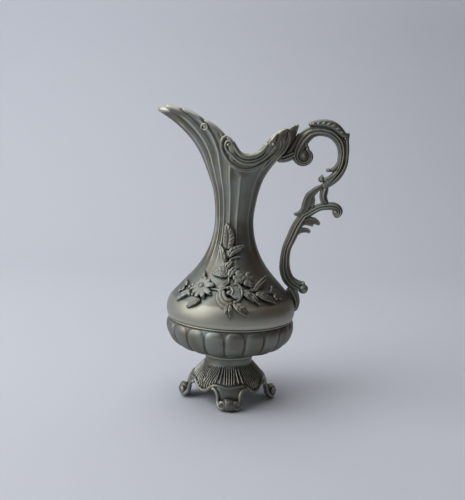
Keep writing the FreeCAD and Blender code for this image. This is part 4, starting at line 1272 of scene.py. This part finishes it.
BUDS = ((-48.6, 64.9), (-42.0, 62.8), (-53.2, 65.4), (-52.4, 63.4), (-46.4, 62.4), (-50.2, 66.6))
# rose: sweeping petals, raised rim of the open petal and inmost petal, as points of turn and height,
# half width and lift
ROSE = (
    (((-14.6, 65.6), (-13.5, 63.0), (-9.8, 60.6), (-4.9, 59.2), (1.2, 59.8)), 1.4, 0.4),
    (((-11.9, 66.0), (-10.5, 63.5), (-6.7, 61.3), (-2.2, 60.3), (2.0, 60.8)), 1.2, 0.9),
    (((-8.7, 66.0), (-6.9, 63.6), (-3.4, 62.0), (1.2, 61.8)), 1.05, 1.4),
    (((2.4, 69.2), (8.5, 68.2), (11.0, 66.0), (10.2, 63.8), (6.6, 61.5), (1.8, 60.9)), 0.85, 1.6),
    (((-5.4, 66.6), (-1.6, 67.3), (1.4, 65.8), (0.4, 63.8)), 0.7, 1.9),
)
# open petal of the rose as turn, height and lift, its half width, and the rose's heart
OPEN_PETAL = ((-3.0, 64.9, 0.5), (4.0, 65.0, 0.7), (10.4, 65.0, 0.9))
OPEN_HALF = 3.9
ROSE_HEART = (-2.4, 65.0, 1.3)
HEART_RADIUS = 1.5


def make_spray(name, turn, start, material):
    """Spray turned round the axis, from a starting turn on, as one casting."""
    mesh = bmesh.new()
    for rows, half, veins in LEAVES:
        if rows[-1][0] < start:
            continue
        # a leaf arches from its stalk and dips to its tip
        points = [(*rows[0], 0.3)] + [(*row, 0.9) for row in rows[1:-1]] + [(*rows[-1], 0.2)]
        blade(mesh, points, half, LEAF_EDGE, LEAF_CROWN, leaf_veins(SIDE_VEINS * veins), leaf_outline)
    for rows in STEMS:
        plain_rod(mesh, [(*on_shoulder(*row, 0.35), STEM_HALF, STEM_DEPTH) for row in rows],
                  out_of_shoulder, 14, 40)
    for where, height, size, half, tips in BLOSSOMS:
        if where < start:
            continue
        lift = min(size, 1.2)
        for tip_turn, tip_height in tips:
            middle = (0.4 * where + 0.6 * tip_turn, 0.4 * height + 0.6 * tip_height, 0.8 * lift)
            blade(mesh, [(where, height, 0.6 * lift), middle, (tip_turn, tip_height, 0.6 * lift)],
                  half, 0.2 + 0.55 * size, 0.5, None, petal_outline)
        ball(mesh, on_shoulder(where, height, 0.4 + 0.5 * size), (size, size, size), 24)
    for where, height in BUDS:
        ball(mesh, on_shoulder(where, height, 0.55), (BUD_RADIUS, BUD_RADIUS, BUD_RADIUS), 18)
    # the open petal is hollow and veined
    blade(mesh, OPEN_PETAL, OPEN_HALF, 1.9, -0.1, fan_veins(7), petal_outline)
    for rows, half, lift in ROSE:
        plain_rod(mesh, [(*on_shoulder(*row, lift), half, 0.9) for row in rows],
                  out_of_shoulder, 16, 60)
    ball(mesh, on_shoulder(*ROSE_HEART), (HEART_RADIUS, HEART_RADIUS, HEART_RADIUS), 24)
    bmesh.ops.rotate(mesh, verts=mesh.verts, cent=(0, 0, 0),
                     matrix=Matrix.Rotation(math.radians(turn), 3, "Z"))
    piece = fused(name, mesh, material, 0.18, 1)
    return thinned(finish_surface(piece, 4, 40))


# Stage: sweep of paper with a rounded back, and a cloth beside it
SWEEP_HALF = 2200.0
SWEEP_FRONT = -1500.0
SWEEP_BACK = 700.0
SWEEP_HEIGHT = 1800.0
SWEEP_CURVE = 320.0
SWEEP_STEPS = 16
CLOTH_HALVES = (420.0, 330.0, 1.0)
CLOTH_PLACE = (430.0, -60.0, 340.0)
# area lights: name, place, target, sides in metres, watts and colour
LIGHTS = (
    ("window", (-760, -300, 520), (0, 0, 90), (0.9, 1.0), 7.6, "#fbfcff"),
    ("overhead", (-160, 160, 900), (0, 100, 0), (1.2, 1.2), 6.0, "#ffffff"),
    ("lamp", (620, -420, 240), (0, 0, 70), (0.35, 0.5), 0.8, "#e0b884"),
)
AIR_STRENGTH = 0.16
# camera at the photograph's angle: place, tip downwards and turn of the picture in degrees
CAMERA_PLACE = (-0.3, -381.3, 145.0)
CAMERA_TIP = 9.1
CAMERA_TURN = 2.3
CAMERA_SENSOR = 36.0
CAMERA_LENS = 50.4


def plain_matt(name, code, settings):
    """Even matt material of a colour."""
    material, tree = blank_material(name)
    shader = node(tree, "BsdfPrincipled", {"Base Color": linear(code), **settings})
    node(tree, "OutputMaterial", {"Surface": shader.outputs[0]})
    return material


def make_sweep(colours):
    """Floor that rounds up into the backdrop."""
    mesh = bmesh.new()
    bend_start = SWEEP_BACK - SWEEP_CURVE
    line = [Vector((-SWEEP_HALF, SWEEP_FRONT, 0.0)), Vector((-SWEEP_HALF, bend_start, 0.0))]
    for step in range(1, SWEEP_STEPS + 1):
        turn = math.pi / 2 * step / SWEEP_STEPS
        line.append(Vector((-SWEEP_HALF, bend_start + SWEEP_CURVE * math.sin(turn),
                            SWEEP_CURVE - SWEEP_CURVE * math.cos(turn))))
    line.append(Vector((-SWEEP_HALF, SWEEP_BACK, SWEEP_HEIGHT)))
    verts = [mesh.verts.new(spot) for spot in line]
    edges = [mesh.edges.new(pair) for pair in zip(verts, verts[1:])]
    made = bmesh.ops.extrude_edge_only(mesh, edges=edges)
    moved = [item for item in made["geom"] if isinstance(item, bmesh.types.BMVert)]
    bmesh.ops.translate(mesh, vec=(2 * SWEEP_HALF, 0, 0), verts=moved)
    bmesh.ops.recalc_face_normals(mesh, faces=mesh.faces)
    paper = plain_matt("matt studio paper", colours.paper, {"Roughness": 0.9, "Specular IOR Level": 0.1})
    floor = new_piece("studio_sweep", mesh, paper)
    floor.data.polygons.foreach_set("use_smooth", [True] * len(floor.data.polygons))


def make_cloth(colours):
    """Dark cloth on the right, out of the camera's sight, which darkens that side of the metal."""
    mesh = bmesh.new()
    bmesh.ops.create_grid(mesh, x_segments=1, y_segments=1, size=1.0)
    bmesh.ops.scale(mesh, vec=CLOTH_HALVES, verts=mesh.verts)
    stand = Matrix.Translation(CLOTH_PLACE) @ Matrix.Rotation(math.pi / 2, 4, "Z")
    bmesh.ops.transform(mesh, matrix=stand @ Matrix.Rotation(math.pi / 2, 4, "X"),
                        verts=mesh.verts)
    cloth = new_piece("side_cloth", mesh, plain_matt("brown cloth", colours.cloth, {"Roughness": 0.95}))
    cloth.visible_camera = False


def make_light(name, place, target, size, power, colour):
    """Area light at a place, aimed at a target."""
    lamp = bpy.data.lights.new(name, "AREA")
    lamp.shape = "RECTANGLE"
    lamp.size, lamp.size_y = size
    lamp.energy = power
    lamp.color = linear(colour)[:3]
    item = bpy.data.objects.new(name, lamp)
    item.location = [n * MM for n in place]
    aim = (Vector(target) - Vector(place)) * MM
    item.rotation_euler = aim.to_track_quat("-Z", "Y").to_euler()
    bpy.context.scene.collection.objects.link(item)


def make_camera():
    """Camera that sees the ewer as the photograph does."""
    camera = bpy.data.cameras.new("camera")
    camera.sensor_width = CAMERA_SENSOR
    camera.lens = CAMERA_LENS
    camera.clip_start = 0.01
    item = bpy.data.objects.new("camera", camera)
    stand = Matrix.Translation(Vector(CAMERA_PLACE) * MM)
    tilt = Matrix.Rotation(math.radians(90.0 - CAMERA_TIP), 4, "X")
    item.matrix_world = stand @ tilt @ Matrix.Rotation(math.radians(CAMERA_TURN), 4, "Z")
    bpy.context.scene.collection.objects.link(item)
    bpy.context.scene.camera = item


def make_air(colours):
    """Even light from all round."""
    world = bpy.data.worlds.new("studio air")
    world.use_nodes = True
    tree = world.node_tree
    tree.nodes.clear()
    air = node(tree, "Background", {"Color": linear(colours.air), "Strength": AIR_STRENGTH})
    node(tree, "OutputWorld", {"Surface": air.outputs[0]})
    bpy.context.scene.world = world


class EwerSizes(bpy.types.PropertyGroup):
    gadroons: bpy.props.IntProperty(
        name="Gadroons", description="Pillowed lobes round the bowl", default=20, min=6, max=40)
    gadroon_depth: bpy.props.FloatProperty(
        name="Gadroon depth", description="Depth of the grooves between the lobes",
        default=0.00095, min=0.0, unit="LENGTH", subtype="DISTANCE")
    flute_depth: bpy.props.FloatProperty(
        name="Flute depth", description="Relief of the neck's ridges and channels",
        default=0.001, min=0.0, unit="LENGTH", subtype="DISTANCE")
    rim_wall: bpy.props.FloatProperty(
        name="Rim wall", description="Thickness of the mouth's edge",
        default=0.0021, min=0.0005, unit="LENGTH", subtype="DISTANCE")


class EwerColours(bpy.types.PropertyGroup):
    metal: bpy.props.StringProperty(
        name="Pewter", description="Clean pewter, hex sRGB", default="#858a83")
    metal_warm: bpy.props.StringProperty(
        name="Toned pewter", description="Pewter under a thin warm tarnish, hex sRGB",
        default="#77746a")
    worn_and_highlight: bpy.props.StringProperty(
        # the rubbed colour also paints a highlight on ridge tops
        name="Rubbed pewter", description="Ridges polished by handling, hex sRGB",
        default="#c2c0b1")
    # the patina colour also paints the shade in corners
    patina: bpy.props.StringProperty(
        name="Patina", description="Dark wash left in the hollows, hex sRGB", default="#2a2b25")
    brass: bpy.props.StringProperty(
        name="Brass", description="Hinge pin, hex sRGB", default="#a88a4e")
    steel: bpy.props.StringProperty(
        name="Steel", description="Screw, washer and nut, hex sRGB", default="#9a9a98")
    paper: bpy.props.StringProperty(
        name="Paper", description="Floor and backdrop, hex sRGB", default="#c9ccd3")
    cloth: bpy.props.StringProperty(
        name="Cloth", description="Cloth beside the floor, hex sRGB", default="#4a3a2b")
    air: bpy.props.StringProperty(
        name="Air", description="Light from all round, hex sRGB", default="#c9cdd6")


class EWER_OT_bowl(bpy.types.Operator):
    """Lower bowl with its pillowed gadroons"""
    bl_idname = "ewer.bowl"
    bl_label = "Bowl"

    def execute(self, context):
        piece = make_bowl(context.scene.ewer_sizes, body_pewter(context))
        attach(piece, "base")
        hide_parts("lower_bowl")
        return {"FINISHED"}


class EWER_OT_lid(bpy.types.Operator):
    """Shoulder, fluted neck and scalloped mouth"""
    bl_idname = "ewer.lid"
    bl_label = "Shoulder and mouth"

    def execute(self, context):
        piece = make_lid(context.scene.ewer_sizes, body_pewter(context))
        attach(piece, "lid")
        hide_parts("upper_body")
        return {"FINISHED"}


class EWER_OT_scrolls(bpy.types.Operator):
    """Scrolled bands and curls round the mouth"""
    bl_idname = "ewer.scrolls"
    bl_label = "Mouth scrolls"

    def execute(self, context):
        piece = make_scrolls(ornament_pewter(context))
        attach(piece, "lid")
        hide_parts("upper_body")
        return {"FINISHED"}


class EWER_OT_foot(bpy.types.Operator):
    """Bell foot with fans and four scrolled legs"""
    bl_idname = "ewer.foot"
    bl_label = "Foot"

    def execute(self, context):
        piece = make_foot(ornament_pewter(context))
        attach(piece, "base")
        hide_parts("foot")
        return {"FINISHED"}


class EWER_OT_handle(bpy.types.Operator):
    """Openwork scrolled handle"""
    bl_idname = "ewer.handle"
    bl_label = "Handle"

    def execute(self, context):
        piece = make_handle(ornament_pewter(context))
        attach(piece, "lid")
        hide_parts("handle")
        return {"FINISHED"}


class EWER_OT_sprays(bpy.types.Operator):
    """Flower sprays on both faces of the shoulder"""
    bl_idname = "ewer.sprays"
    bl_label = "Flower sprays"

    def execute(self, context):
        # the back one starts further round, so that it stays behind the outline
        for name, node_name, turn, start in (
                ("flower_spray_front", "floral_spray_front", 0.0, -90.0),
                ("flower_spray_back", "floral_spray_back", 180.0, -58.0)):
            piece = make_spray(name, turn, start, ornament_pewter(context))
            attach(piece, "lid")
            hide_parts(node_name)
        return {"FINISHED"}


class EWER_OT_fittings(bpy.types.Operator):
    """Metal of the hinge and of the fastening under the bowl"""
    bl_idname = "ewer.fittings"
    bl_label = "Fittings"

    def execute(self, context):
        colours = context.scene.ewer_colours
        brass = plain_metal("drawn brass, dulled by age", colours.brass, 0.38)
        steel = plain_metal("turned steel, bright", colours.steel, 0.3)
        for name in ("hinge_leaf_upper", "hinge_leaf_lower"):
            dress(name, ornament_pewter(context))
        dress("hinge_pin", brass)
        for name in ("foot_screw", "foot_washer", "foot_nut"):
            dress(name, steel)
        return {"FINISHED"}


class EWER_OT_stage(bpy.types.Operator):
    """Floor, backdrop, lights and camera"""
    bl_idname = "ewer.stage"
    bl_label = "Stage"

    def execute(self, context):
        colours = context.scene.ewer_colours
        make_sweep(colours)
        make_cloth(colours)
        for light in LIGHTS:
            make_light(*light)
        make_air(colours)
        context.scene.view_settings.view_transform = "Standard"
        make_camera()
        return {"FINISHED"}


class EWER_PT_panel(bpy.types.Panel):
    """Builds the ewer piece by piece"""
    bl_idname = "EWER_PT_panel"
    bl_label = "Ewer"
    bl_space_type = "VIEW_3D"
    bl_region_type = "UI"
    bl_category = "Ewer"

    def draw(self, context):
        for operator in OPERATORS:
            self.layout.operator(operator.bl_idname)
        for group in (context.scene.ewer_sizes, context.scene.ewer_colours):
            for name in group.__annotations__:
                self.layout.prop(group, name)


OPERATORS = (EWER_OT_bowl, EWER_OT_lid, EWER_OT_scrolls, EWER_OT_foot, EWER_OT_handle,
             EWER_OT_sprays, EWER_OT_fittings, EWER_OT_stage)
CLASSES = (EwerSizes, EwerColours) + OPERATORS + (EWER_PT_panel,)


def register():
    """Makes the operators, the panel and the settings known."""
    for item in CLASSES:
        bpy.utils.register_class(item)
    bpy.types.Scene.ewer_sizes = bpy.props.PointerProperty(type=EwerSizes)
    bpy.types.Scene.ewer_colours = bpy.props.PointerProperty(type=EwerColours)


def unregister():
    """Undoes what register did."""
    del bpy.types.Scene.ewer_colours
    del bpy.types.Scene.ewer_sizes
    for item in reversed(CLASSES):
        bpy.utils.unregister_class(item)


def main():
    """Builds every piece and the stage."""
    register()
    bpy.ops.ewer.bowl()
    bpy.ops.ewer.lid()
    bpy.ops.ewer.scrolls()
    bpy.ops.ewer.foot()
    bpy.ops.ewer.handle()
    bpy.ops.ewer.sprays()
    bpy.ops.ewer.fittings()
    bpy.ops.ewer.stage()
    drop_patterns()


if __name__ == "__main__":
    main()
